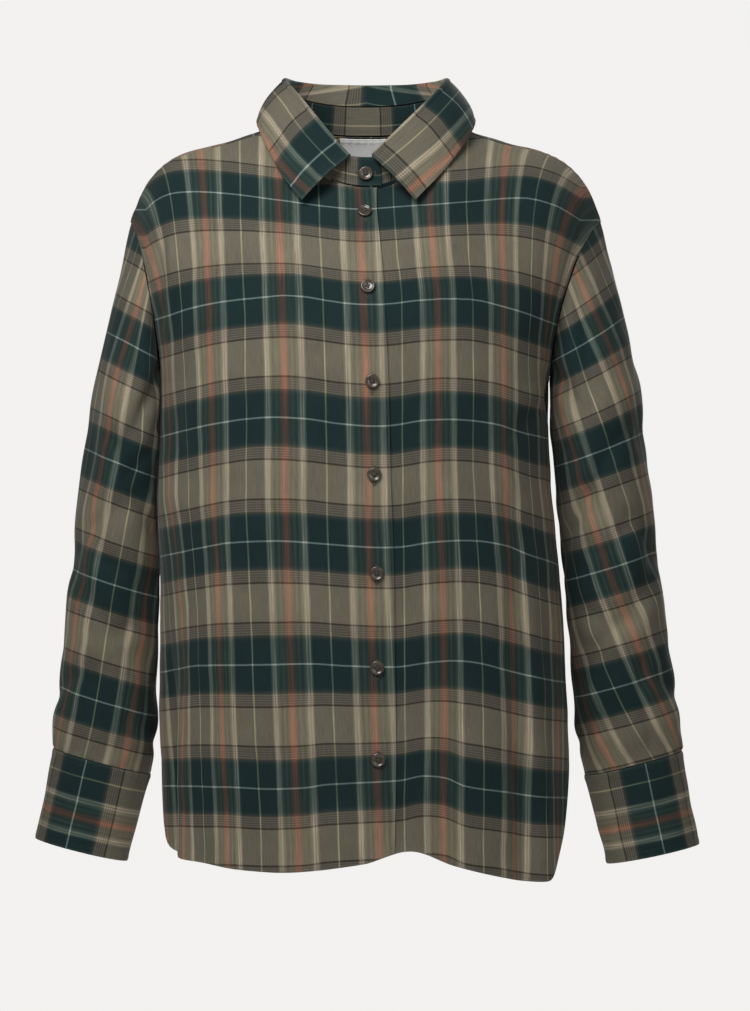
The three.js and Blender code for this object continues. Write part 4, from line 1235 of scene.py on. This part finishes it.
# Creases of a sleeve on its cloth: path by millimetres out from the front line and height.
sleeveCreases = {
    -1: [
        ([(-48, -196), (-26, -250), (-6, -292)], 8, 3.0, 1),
        ([(-62, -250), (-30, -300), (4, -330)], 9, 2.4, 1),
        ([(-4, -120), (2, -180), (-8, -250)], 9, 2.2, -1),
        ([(34, -360), (8, -400), (-26, -414)], 9, 2.2, 1),
        ([(-40, -452), (-8, -470), (28, -466)], 9, 2.0, -1),
        ([(18, -480), (16, -530), (24, -584)], 7, 2.2, 1),
        ([(-22, -500), (-24, -545), (-20, -586)], 6, 2.2, -1),
        ([(54, -180), (50, -300), (56, -420)], 12, 1.8, 1),
        ([(120, -200), (116, -340), (110, -470)], 12, 2.6, 1),
        ([(150, -420), (120, -450), (90, -446)], 9, 2.4, 1),
        ([(-90, -330), (-80, -420), (-86, -520)], 11, 2.6, 1),
        ([(88, -520), (84, -560), (88, -586)], 6, 2.4, 1),
    ],
    1: [
        ([(10, -112), (4, -185), (-10, -282)], 7, 3.4, -1),
        ([(-2, -116), (-16, -134), (-36, -150)], 7, 2.6, 1),
        ([(-46, -200), (-20, -262), (6, -300)], 9, 2.6, -1),
        ([(30, -352), (4, -384), (-30, -392)], 9, 2.2, 1),
        ([(-44, -440), (-12, -462), (26, -452)], 9, 2.0, -1),
        ([(20, -486), (14, -536), (20, -586)], 7, 2.2, 1),
        ([(-20, -500), (-26, -550), (-22, -588)], 6, 2.2, -1),
        ([(50, -200), (54, -320), (48, -440)], 12, 1.8, -1),
        ([(118, -190), (122, -330), (112, -460)], 12, 2.6, 1),
        ([(-92, -320), (-82, -430), (-88, -520)], 11, 2.6, 1),
        ([(146, -400), (118, -436), (90, -430)], 9, 2.4, 1),
        ([(86, -520), (82, -560), (86, -588)], 6, 2.4, 1),
    ],
}
sleeveRadius = 50


def sleeveRelief(side):
    def relief(a, b, point):
        # Millimetres round the sleeve from its front line, positive towards the outside.
        around = np.mod(math.pi / 2 - b + math.pi / 2, 2 * math.pi) - math.pi / 2
        out = around * sleeveRadius
        head = a * 380
        cuff = (1 - a) * 380
        z = point[..., 2]
        raised = creaseRelief(out, z, sleeveCreases[side])
        raised = raised + rumple(point[..., 0] + point[..., 1], z, 61 + side, 0.6)
        gathers = 0.8 * np.sin(b * 11 + 1.1 * np.sin(3 * b)) * bell(cuff, 26)
        raised = (raised + gathers) * smoothStep(0, 12, head) * smoothStep(0, 5, cuff)
        return raised - 0.35 * bell(head, 1.6) - 0.4 * bell(cuff, 1.6)
    return relief


# The pale weft lines down the sleeve's front: height and place on the cloth; then where the cream warp
# line runs, out from the front line, by its place along the sleeve.
sleeveWeft = {
    -1: [(-202, -219), (-312, -328.5), (-421.5, -438), (-532, -547.5)],
    1: [(-196, -219), (-298, -328.5), (-405.6, -438), (-515, -547.5)],
}
sleeveCream = {-1: [(0.3, -12), (0.97, 14)], 1: [(0.3, -60), (0.57, -34), (0.97, 14)]}


def sleeveCloth(side):
    def cloth(a, b, points):
        rows = sleeveRows[side]
        z = points[..., 2]
        centre = curveThrough([(row[2], row[0]) for row in rows], z)
        lean = np.radians(curveThrough([(row[2], row[3]) for row in rows], z))
        level = z - np.tan(lean) * (side * points[..., 0] - centre)
        run = arcAlong(points, 1)
        front = np.array([np.interp(2.5 * math.pi, b[i], run[i]) for i in range(b.shape[0])])
        out = front[:, None] - run
        return out - curveThrough(sleeveCream[side], a), curveThrough(sleeveWeft[side], level)
    return cloth


sleeveNames = {-1: "left", 1: "right"}
sleeveSurfaces = {}
cuffSurfaces = {}
for side, name in sleeveNames.items():
    facing = -side
    surface = surfaceOf(sleeveBase(side), sleeveRelief(side), facing)
    sleeveSurfaces[side] = surface
    turns = np.linspace(math.pi, 3 * math.pi, 121)
    b, a = np.meshgrid(turns, np.linspace(0, 1, 150))
    piece = {
        "name": f"sleeve_{name}_cloth", "node": f"sleeve_{name}", "slot": "flannel", "finish": flannel,
        "flat": (0.42, 0.50), "area": 0.15, "held": "hung",
        "restsOn": ["front_over_cloth", "front_under_cloth", "back_cloth", "yoke_cloth"],
    }
    wear = edgeWear(a * 380 + 1, (1 - a) * 380 + 1)
    clothPiece(piece, surface, a, b, sleeveCloth(side), wear, closed=True)

print("stage: cuffs", flush=True)

cuffHeight = 84
cuffStitch = 6.0
cuffPale = {-1: 12.5, 1: 9}


def cuffRelief(side):
    def relief(a, b, point):
        top, bottom = a * cuffHeight, (1 - a) * cuffHeight
        ends = np.minimum(b - cuffTurns[0], cuffTurns[1] - b) * 42
        run = b * 42
        band = edgeBand(top, cuffStitch, run) + edgeBand(bottom, cuffStitch, run)
        soft = rumple(run, a * cuffHeight, 71 + side, 0.5) * smoothStep(0, 10, np.minimum(top, bottom))
        return (band + soft) * smoothStep(-1, 5, ends) + edgeBand(ends, cuffStitch, a * cuffHeight) * 0.6
    return relief


def cuffCloth(side):
    def cloth(a, b, points):
        run = arcAlong(points, 1)
        front = np.array([np.interp(2.5 * math.pi, b[i], run[i]) for i in range(b.shape[0])])
        out = front[:, None] - run
        return a * cuffHeight - 16, out - cuffPale[side]
    return cloth


for side, name in sleeveNames.items():
    surface = surfaceOf(cuffBase(side), cuffRelief(side), -side)
    cuffSurfaces[side] = surface
    b, a = np.meshgrid(np.linspace(*cuffTurns, 151), np.linspace(0, 1, 33))
    piece = {
        "name": f"cuff_{name}_cloth", "node": f"cuff_{name}", "slot": "flannel", "finish": flannel,
        "flat": (0.29, 0.085), "area": 0.0235, "held": "stretched", "restsOn": [f"sleeve_{name}_cloth"],
    }
    clothPiece(piece, surface, a, b, cuffCloth(side), edgeWear(a * cuffHeight, (1 - a) * cuffHeight))

    # The strip that finishes the slit above the cuff.
    placketBase = sleeveSurfaces[side]

    def stripBase(along, turn, under=placketBase):
        return under(along, turn, wallThickness / 2 + stripLift)[0]

    def stripRelief(along, turn, point):
        across = np.minimum(turn - slitTurns[0], slitTurns[1] - turn) * slitRadius
        return -0.3 * bell(across, 0.8) - 0.25 * bell(across - stripStitch, 0.8)

    strip = surfaceOf(stripBase, stripRelief, -side)
    b, a = np.meshgrid(np.linspace(*slitTurns, 15), np.linspace(0.78, 0.985, 41))
    piece = {
        "name": f"placket_{name}_cloth", "node": f"placket_{name}", "slot": "flannel", "finish": flannel,
        "flat": (0.02, 0.07), "area": 0.0012, "held": "stretched", "restsOn": [f"sleeve_{name}_cloth"],
    }

    def stripCloth(along, turn, points):
        return arcAlong(points, 1) + 20, arcAlong(points, 0) + 40

    rubbed = edgeWear((b - slitTurns[0]) * slitRadius, (slitTurns[1] - b) * slitRadius)
    clothPiece(piece, strip, a, b, stripCloth, rubbed)

print("stage: label", flush=True)

label = {"left": -24, "right": 29, "drop": 34, "top": 0.985, "length": 112, "stretch": 1.08}


def labelRelief(a, b, point):
    fromTop = (label["top"] - b) * label["length"]
    nearest = np.minimum(fromTop, label["drop"] - fromTop)
    return 0.25 * (1 - smoothStep(2.5, 3.5, nearest)) + rumple(point[..., 0], fromTop, 81, 0.15)


def labelBase(a, b):
    return yokeSurface(a, b, -1.9)[0]


def labelCloth(a, b, points):
    return arcAlong(points, 1), arcAlong(points, 0)


labelSurface = surfaceOf(labelBase, labelRelief, 1)
girth = backNeck["halfWidth"] * backNeck["turn"]
labelShares = np.linspace(label["right"], label["left"], 41) / girth * neckShare["back"] * label["stretch"]
labelA, labelB = np.meshgrid(labelShares, label["top"] - np.linspace(0, label["drop"], 31) / label["length"])
labelPiece = {
    "name": "neck_label_tape", "node": "neck_label", "slot": "label_tape", "finish": labelFinish,
    "flat": (0.053, 0.034), "held": "laid", "restsOn": ["yoke_cloth"],
}
clothPiece(labelPiece, labelSurface, labelA, labelB, labelCloth, np.zeros_like(labelA))

print("stage: buttons", flush=True)

button = {"radius": 6.5, "thickness": 2.6, "rim": 1.5, "dish": 0.8, "holeRadius": 0.75, "holeSpread": 1.35}


# A dished button with a raised rim and four holes, its back at the origin and its face towards +Z.
def buttonMesh():
    radius, thickness, rim, dish = (button[key] for key in ("radius", "thickness", "rim", "dish"))
    face = thickness - dish
    profile = [
        (0, 0), (radius * 0.55, 0), (radius - 1.0, 0.15), (radius - 0.3, 0.7), (radius, 1.35),
        (radius - 0.15, 1.95), (radius - 0.55, 2.4), (radius - 1.0, thickness), (radius - rim, 2.5),
        (radius - rim - 0.5, 2.1), (radius - rim - 1.0, face), (2.2, face - 0.08), (0, face - 0.1),
    ]
    sides = 48
    vertices = []
    for r, z in profile[1:-1]:
        for k in range(sides):
            turn = 2 * math.pi * k / sides
            vertices.append((r * math.cos(turn), r * math.sin(turn), z))
    rings = len(profile) - 2
    vertices += [(0, 0, profile[0][1]), (0, 0, profile[-1][1])]
    faces = []
    for ring in range(rings - 1):
        for k in range(sides):
            nextK = (k + 1) % sides
            faces.append((
                ring * sides + k, ring * sides + nextK, (ring + 1) * sides + nextK, (ring + 1) * sides + k,
            ))
    for k in range(sides):
        nextK = (k + 1) % sides
        faces.append((rings * sides, nextK, k))
        faces.append((rings * sides + 1, (rings - 1) * sides + k, (rings - 1) * sides + nextK))
    mesh = bpy.data.meshes.new("button_shape")
    mesh.from_pydata([tuple(c * mm for c in v) for v in vertices], [], faces)
    shape = objectFrom("button_shape", mesh)
    holes = bpy.data.meshes.new("button_holes")
    points, sidesOfHoles = [], []
    for x in (-1, 1):
        for y in (-1, 1):
            start = len(points)
            for z in (-1, 4):
                for k in range(16):
                    turn = 2 * math.pi * k / 16
                    r, spread = button["holeRadius"], button["holeSpread"]
                    around = (x * spread + r * math.cos(turn), y * spread + r * math.sin(turn), z)
                    points.append(tuple(value * mm for value in around))
            for k in range(16):
                n = (k + 1) % 16
                sidesOfHoles.append((start + k, start + n, start + 16 + n, start + 16 + k))
            sidesOfHoles.append(tuple(range(start + 15, start - 1, -1)))
            sidesOfHoles.append(tuple(range(start + 16, start + 32)))
    holes.from_pydata(points, [], sidesOfHoles)
    cutter = objectFrom("button_holes", holes)
    cut = shape.modifiers.new("holes", "BOOLEAN")
    cut.operation, cut.object, cut.solver = "DIFFERENCE", cutter, "EXACT"
    settle(shape)
    bpy.data.objects.remove(cutter)
    made = shape.data
    bpy.data.objects.remove(shape)
    return made


def bentTube(points, radius, sides=8):
    # A closed tube along a few points, for the threads that cross a button.
    vertices, faces = [], []
    for i, p in enumerate(points):
        before, after = points[max(i - 1, 0)], points[min(i + 1, len(points) - 1)]
        forward = (after - before).normalized()
        sideways = forward.cross(Vector((0, 0, 1)))
        sideways = sideways.normalized() if sideways.length > 1e-6 else Vector((1, 0, 0))
        upward = sideways.cross(forward)
        for k in range(sides):
            turn = 2 * math.pi * k / sides
            vertices.append(p + sideways * radius * math.cos(turn) + upward * radius * math.sin(turn))
    for i in range(len(points) - 1):
        for k in range(sides):
            n = (k + 1) % sides
            faces.append((i * sides + k, i * sides + n, (i + 1) * sides + n, (i + 1) * sides + k))
    faces.append(tuple(range(sides - 1, -1, -1)))
    last = (len(points) - 1) * sides
    faces.append(tuple(range(last, last + sides)))
    return vertices, faces


def threadedButton():
    mesh = buttonMesh()
    vertices = [v.co.copy() for v in mesh.vertices]
    faces = [tuple(p.vertices) for p in mesh.polygons]
    finishes = [0] * len(faces)
    spread, top = button["holeSpread"] * mm, (button["thickness"] - button["dish"]) * mm
    for start, end in (((-1, -1), (1, 1)), ((-1, 1), (1, -1))):
        for offset in (-0.24, 0.24):
            shift = Vector((-start[1] * offset * mm, start[0] * offset * mm, 0))
            a = Vector((start[0] * spread, start[1] * spread, 0)) + shift
            b = Vector((end[0] * spread, end[1] * spread, 0)) + shift
            path = []
            for k in range(9):
                t = k / 8
                rise = (0.42 * math.sin(math.pi * t) ** 0.6 - (0.9 if k in (0, 8) else 0)) * mm
                path.append(a.lerp(b, t) + Vector((0, 0, top + rise)))
            newVertices, newFaces = bentTube(path, 0.27 * mm)
            first = len(vertices)
            vertices += newVertices
            faces += [tuple(first + i for i in face) for face in newFaces]
            finishes += [1] * len(newFaces)
    made = bpy.data.meshes.new("threaded_button")
    made.from_pydata(vertices, [], faces)
    made.polygons.foreach_set("material_index", finishes)
    made.materials.append(hornFinish)
    made.materials.append(threadFinish)
    made.shade_smooth()
    made.set_sharp_from_angle(angle=math.radians(40))
    return made


buttonModel = threadedButton()


def placeButton(node, place, facing, turn):
    mesh = buttonModel.copy()
    mesh.name = f"{node}_horn"
    toFace = Vector(facing).to_track_quat("Z", "Y").to_matrix().to_4x4()
    spin = toFace @ Matrix.Rotation(turn, 4, "Z")
    spin.translation = Vector(place) * mm + Vector(facing) * (wallThickness / 2 + 0.5) * mm
    mesh.transform(spin)
    made = objectFrom(mesh.name, mesh)
    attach(made, "root")
    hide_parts(node)
    return made


overSurface = frontSurfaces[-1]
buttonPlaces = []
for k, height in enumerate(buttonHeights):
    u = float(closureX(height)) / halfGirth
    if height > underarmHeight:
        level = float(levelAtHeight("front", np.array(u), height))
    else:
        level = (underarmHeight - height) / (float(hemHeight("front", np.array(u))) - underarmHeight)
    buttonPlaces.append((u, level))
    place, facing = overSurface(np.array([u]), np.array([level]))
    placeButton(f"button_{k + 2}", place[0], facing[0], 0.35 + 0.7 * k)
place, facing = standSurface(np.array([-1.0]), np.array([0.42]))
placeButton("button_1", place[0], facing[0], 0.2)
for side, name in sleeveNames.items():
    place, facing = cuffSurfaces[side](np.array([0.5]), np.array([slitTurn + 2 * math.pi]))
    placeButton(f"cuff_button_{name}", place[0], facing[0], 0.5)

print("stage: stitches", flush=True)


# Puts one thread at each point of a guide, laid along the point's heading.
def stitchTree():
    tree = bpy.data.node_groups.new("threads", "GeometryNodeTree")
    face = tree.interface
    face.new_socket("Guide", in_out="INPUT", socket_type="NodeSocketGeometry")
    sockets = {}
    kinds = {"Length": "Float", "Width": "Float", "Unevenness": "Float", "Finish": "Material"}
    for name, kind in kinds.items():
        made = face.new_socket(name, in_out="INPUT", socket_type=f"NodeSocket{kind}")
        sockets[name] = made.identifier
    face.new_socket("Threads", in_out="OUTPUT", socket_type="NodeSocketGeometry")
    start, end = addNode(tree, "NodeGroupInput"), addNode(tree, "NodeGroupOutput")
    thread = addNode(tree, "GeometryNodeMeshUVSphere")
    thread.inputs["Segments"].default_value = 6
    thread.inputs["Rings"].default_value = 5
    thread.inputs["Radius"].default_value = 0.5
    heading = addNode(tree, "GeometryNodeInputNamedAttribute", data_type="FLOAT_VECTOR")
    heading.inputs["Name"].default_value = "heading"
    upward = addNode(tree, "GeometryNodeInputNamedAttribute", data_type="FLOAT_VECTOR")
    upward.inputs["Name"].default_value = "upward"
    along = addNode(tree, "FunctionNodeAlignRotationToVector", axis="Z")
    link(tree, heading.outputs[0], along.inputs["Vector"])
    level = addNode(tree, "FunctionNodeAlignRotationToVector", axis="X", pivot_axis="Z")
    link(tree, along.outputs[0], level.inputs["Rotation"])
    link(tree, upward.outputs[0], level.inputs["Vector"])
    uneven = addNode(tree, "FunctionNodeRandomValue", data_type="FLOAT")
    uneven.inputs["Seed"].default_value = 7
    link(tree, mathNode(tree, "SUBTRACT", 1.0, start.outputs["Unevenness"]), uneven.inputs[2])
    link(tree, mathNode(tree, "ADD", 1.0, start.outputs["Unevenness"]), uneven.inputs[3])
    size = addNode(tree, "ShaderNodeCombineXYZ")
    link(tree, mathNode(tree, "MULTIPLY", start.outputs["Width"], 0.7), size.inputs[0])
    link(tree, start.outputs["Width"], size.inputs[1])
    link(tree, mathNode(tree, "MULTIPLY", start.outputs["Length"], uneven.outputs[1]), size.inputs[2])
    place = addNode(tree, "GeometryNodeInstanceOnPoints")
    link(tree, start.outputs["Guide"], place.inputs["Points"])
    link(tree, thread.outputs["Mesh"], place.inputs["Instance"])
    link(tree, level.outputs[0], place.inputs["Rotation"])
    link(tree, size.outputs[0], place.inputs["Scale"])
    real = addNode(tree, "GeometryNodeRealizeInstances")
    link(tree, place.outputs[0], real.inputs[0])
    finish = addNode(tree, "GeometryNodeSetMaterial")
    link(tree, real.outputs[0], finish.inputs["Geometry"])
    link(tree, start.outputs["Finish"], finish.inputs["Material"])
    link(tree, finish.outputs[0], end.inputs[0])
    return tree, sockets


threadTree, threadSockets = stitchTree()


# Points spaced evenly on a surface along a run of places on it, with their headings and normals.
def stitchRun(surface, a, b, spacing, lift=0.12, across=False):
    a, b = np.broadcast_arrays(np.asarray(a, float), np.asarray(b, float))
    points, normals = surface(a, b, wallThickness / 2 + lift)
    run = arcAlong(points, 0)
    wanted = np.arange(spacing / 2, run[-1], spacing)
    place = np.stack([np.interp(wanted, run, points[:, k]) for k in range(3)], axis=1)
    square = unit(np.stack([np.interp(wanted, run, normals[:, k]) for k in range(3)], axis=1))
    ahead = np.stack([np.interp(wanted + 0.4, run, points[:, k]) for k in range(3)], axis=1)
    behind = np.stack([np.interp(wanted - 0.4, run, points[:, k]) for k in range(3)], axis=1)
    heading = unit(ahead - behind)
    return place, np.cross(heading, square) if across else heading, square


def sewThreads(name, runs, length, width, unevenness, finish):
    points = np.concatenate([run[0] for run in runs])
    mesh = bpy.data.meshes.new(name)
    mesh.from_pydata((points * mm).tolist(), [], [])
    for key, column in (("heading", 1), ("upward", 2)):
        layer = mesh.attributes.new(key, "FLOAT_VECTOR", "POINT")
        vectors = np.concatenate([run[column] for run in runs]).ravel().astype(np.float32)
        layer.data.foreach_set("vector", vectors)
    made = objectFrom(name, mesh)
    sewn = made.modifiers.new("threads", "NODES")
    sewn.node_group = threadTree
    for key, value in (("Length", length * mm), ("Width", width * mm), ("Unevenness", unevenness)):
        sewn[threadSockets[key]] = value
    sewn[threadSockets["Finish"]] = finish
    settle(made)
    made.data.shade_smooth()
    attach(made, "root")
    print(f"{name}: {len(points)} threads, {len(made.data.polygons)} faces")
    return made


# Levels on a body surface that lie at an even distance above the hem.
def hemRun(face, shares, above):
    return above / (underarmHeight - hemHeight(face, shares)) - 1


def inArmhole(face, side, distance, count=160):
    levels = np.linspace(0.004, 0.985, count)
    return side * (armholeShare(face, levels) - distance / halfGirth), levels


# From one stitch to the next, and how near the side seams the hem's stitches start.
bodyPitch, trimPitch, sideShare = 3.0, 2.8, 0.995
bodyRuns = []
for side in (-1, 1):
    surface = frontSurfaces[side]
    start = float(frontEdgeShare(side, np.array(-1.0)))
    shares = np.linspace(start + side * 0.004, side * sideShare, 200)
    bodyRuns.append(stitchRun(surface, shares, hemRun("front", shares, hemStitch), bodyPitch))
    bodyRuns.append(stitchRun(surface, *inArmhole("front", side, seamStitch), bodyPitch))
shares = np.linspace(-sideShare, sideShare, 300)
bodyRuns.append(stitchRun(backSurface, shares, hemRun("back", shares, hemStitch), bodyPitch))
yokeShares = np.linspace(-tipShare["back"] + 0.01, tipShare["back"] - 0.01, 300)
bodyRuns.append(stitchRun(yokeSurface, yokeShares, seamStitch / yokeFall, bodyPitch))
for side in (-1, 1):
    shares = side * np.linspace(neckShare["back"] + 0.01, tipShare["back"] - 0.01, 120)
    bodyRuns.append(stitchRun(yokeSurface, shares, 1 - seamStitch / yokeFall, bodyPitch))
sewThreads("body_stitches", bodyRuns, 2.3, 0.42, 0.1, threadFinish)

standStitch = 3.5
edgeFall = 1 - collarStitch * (1 - leafRollEnd) / leafWidth
endShare = 1 - collarStitch / leafHalfLength
collarRuns = [stitchRun(leafSurface, np.linspace(-endShare, endShare, 400), edgeFall, trimPitch)]
for side in (-1, 1):
    downEnd = np.linspace(leafRollEnd, edgeFall, 80)
    collarRuns.append(stitchRun(leafSurface, side * endShare, downEnd, trimPitch))
standShares = np.linspace(-standEnd + 0.02, standEnd - 0.02, 400)
collarRuns.append(stitchRun(standSurface, standShares, standStitch / standHeight, trimPitch))
sewThreads("collar_stitches", collarRuns, 2.1, 0.4, 0.1, threadFinish)

# The cuff's end stitching by angle, and the strip's by its reach and its angle in from the edge.
cuffEndTurn, stripReach, stripEdge = 0.14, (0.785, 0.98), stripStitch / slitRadius
for side, name in sleeveNames.items():
    turns = np.linspace(cuffTurns[0] + cuffEndTurn, cuffTurns[1] - cuffEndTurn, 260)
    runs = []
    for along in (cuffStitch / cuffHeight, 1 - cuffStitch / cuffHeight):
        runs.append(stitchRun(cuffSurfaces[side], along, turns, trimPitch))
    downCuff = np.linspace(cuffStitch / cuffHeight, 1 - cuffStitch / cuffHeight, 40)
    runs.append(stitchRun(cuffSurfaces[side], downCuff, cuffTurns[1] - cuffEndTurn, trimPitch))
    strip = surfaceOf(
        lambda along, turn, under=sleeveSurfaces[side]: under(along, turn, wallThickness / 2 + stripLift)[0],
        lambda along, turn, point: np.zeros_like(along), -side,
    )
    for turn in (slitTurns[0] + stripEdge, slitTurns[1] - stripEdge):
        runs.append(stitchRun(strip, np.linspace(*stripReach, 60), turn, trimPitch))
    sewThreads(f"cuff_{name}_stitches", runs, 2.1, 0.4, 0.1, threadFinish)

# Buttonholes: a long ring of close satin stitches round each slit, upright on the front.
holeLength, holeWidth, satinPitch, satinLift, squareness = 17.5, 2.6, 0.42, 0.16, 0.35
# How far a hole sits below its button, and the half lengths of the stand and of a turn of the cuff.
holeDrop, standHalfLength, cuffTurnLength = 1.5, 273, 40


def buttonholeRun(surface, a, b, lengthA, lengthB, widthA, widthB):
    turns = np.linspace(0, 2 * math.pi, 121)
    long = np.sign(np.sin(turns)) * np.abs(np.sin(turns)) ** squareness
    wide = np.sign(np.cos(turns)) * np.abs(np.cos(turns)) ** squareness
    overA, overB = long * lengthA + wide * widthA, long * lengthB + wide * widthB
    return stitchRun(surface, a + overA, b + overB, satinPitch, satinLift, True)


holeRuns = []
for u, level in buttonPlaces:
    above, below = (overSurface(np.array([u]), np.array([level + step]))[0] for step in (0.01, -0.01))
    perLevel = np.linalg.norm(above - below) / 0.02
    high = holeLength / 2 / perLevel
    holeRuns.append(buttonholeRun(
        overSurface, u, level - holeDrop / perLevel, 0.0, high, holeWidth / 2 / halfGirth, 0.0,
    ))
holeRuns.append(buttonholeRun(
    standSurface, -1.0, 0.42, holeLength / 2 / standHalfLength, 0.0, 0.0, holeWidth / 2 / standHeight,
))
for side, name in sleeveNames.items():
    holeRuns.append(buttonholeRun(
        cuffSurfaces[side], 0.5, slitTurn + 2 * math.pi,
        0.0, holeLength / 2 / cuffTurnLength, holeWidth / 2 / cuffHeight, 0.0,
    ))
sewThreads("buttonholes", holeRuns, 1.3, 0.42, 0.12, holeThreadFinish)

labelRuns = []
for side in (-1, 1):
    share = labelShares[0] if side > 0 else labelShares[-1]
    inset = share - side * 2.0 / girth * neckShare["back"]
    labelRuns.append(stitchRun(labelSurface, inset, np.linspace(labelB[1, 0], labelB[-2, 0], 40), 2.2, -0.1))
sewThreads("label_stitches", labelRuns, 1.7, 0.3, 0.1, labelFinish)


print("stage: studio", flush=True)

# A pale round floor below the shirt, out of the camera's sight.
floorHeight, floorRadius = -1.25, 2.5
floorMesh = bpy.data.meshes.new("floor")
floorRing = [math.radians(5 * k) for k in range(72)]
floorMesh.from_pydata(
    [(floorRadius * math.cos(t), floorRadius * math.sin(t), floorHeight) for t in floorRing],
    [], [list(range(len(floorRing)))],
)
floorMaterial = bpy.data.materials.new("pale_paper")
floorTree = nodesOf(floorMaterial)
paper = addNode(floorTree, "ShaderNodeBsdfPrincipled")
paper.inputs["Base Color"].default_value = (0.85, 0.845, 0.83, 1)
paper.inputs["Roughness"].default_value = 0.9
paper.inputs["Specular IOR Level"].default_value = 0.1
link(floorTree, paper.outputs[0], addNode(floorTree, "ShaderNodeOutputMaterial").inputs[0])
floorMesh.materials.append(floorMaterial)
objectFrom("floor", floorMesh)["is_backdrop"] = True

# The camera sees a backdrop of paper tone, and the shirt gets only a little of its light.
backdropTone, roomLight, backdropGlow = (1.0, 0.99, 0.973, 1), 0.1, 0.793
world = bpy.context.scene.world or bpy.data.worlds.new("world")
bpy.context.scene.world = world
world.use_nodes = True
backdrop = world.node_tree.nodes["Background"]
backdrop.inputs[0].default_value = backdropTone
seen = addNode(world.node_tree, "ShaderNodeLightPath").outputs["Is Camera Ray"]
glow = mathNode(world.node_tree, "MULTIPLY_ADD", seen, backdropGlow, roomLight)
link(world.node_tree, glow, backdrop.inputs[1])


def softLight(name, place, aim, width, height, power):
    data = bpy.data.lights.new(name, "AREA")
    data.shape = "RECTANGLE"
    data.size, data.size_y, data.energy = width, height, power
    light = objectFrom(name, data)
    light.location = place
    light.rotation_euler = (Vector(aim) - Vector(place)).to_track_quat("-Z", "Y").to_euler()
    return light


softLight("key", (-0.5, -1.25, 0.8), (0, -0.1, -0.2), 0.9, 0.7, 23)
softLight("fill", (1.3, -2.4, 0.5), (0, 0, -0.3), 1.4, 1.4, 10)
softLight("behind", (0.7, 2.2, 0.7), (0, 0.1, -0.4), 1.6, 1.6, 42)

cameraData = bpy.data.cameras.new("camera")
cameraData.sensor_fit = "VERTICAL"
cameraData.sensor_height = 36
cameraData.lens = eye["lens"]
camera = objectFrom("camera", cameraData)
camera.location = (eye["x"] * mm, eye["y"] * mm, eye["z"] * mm)
camera.rotation_euler = (math.pi / 2, 0, 0)
bpy.context.scene.camera = camera
bpy.context.scene.view_settings.view_transform = "Standard"

low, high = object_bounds()
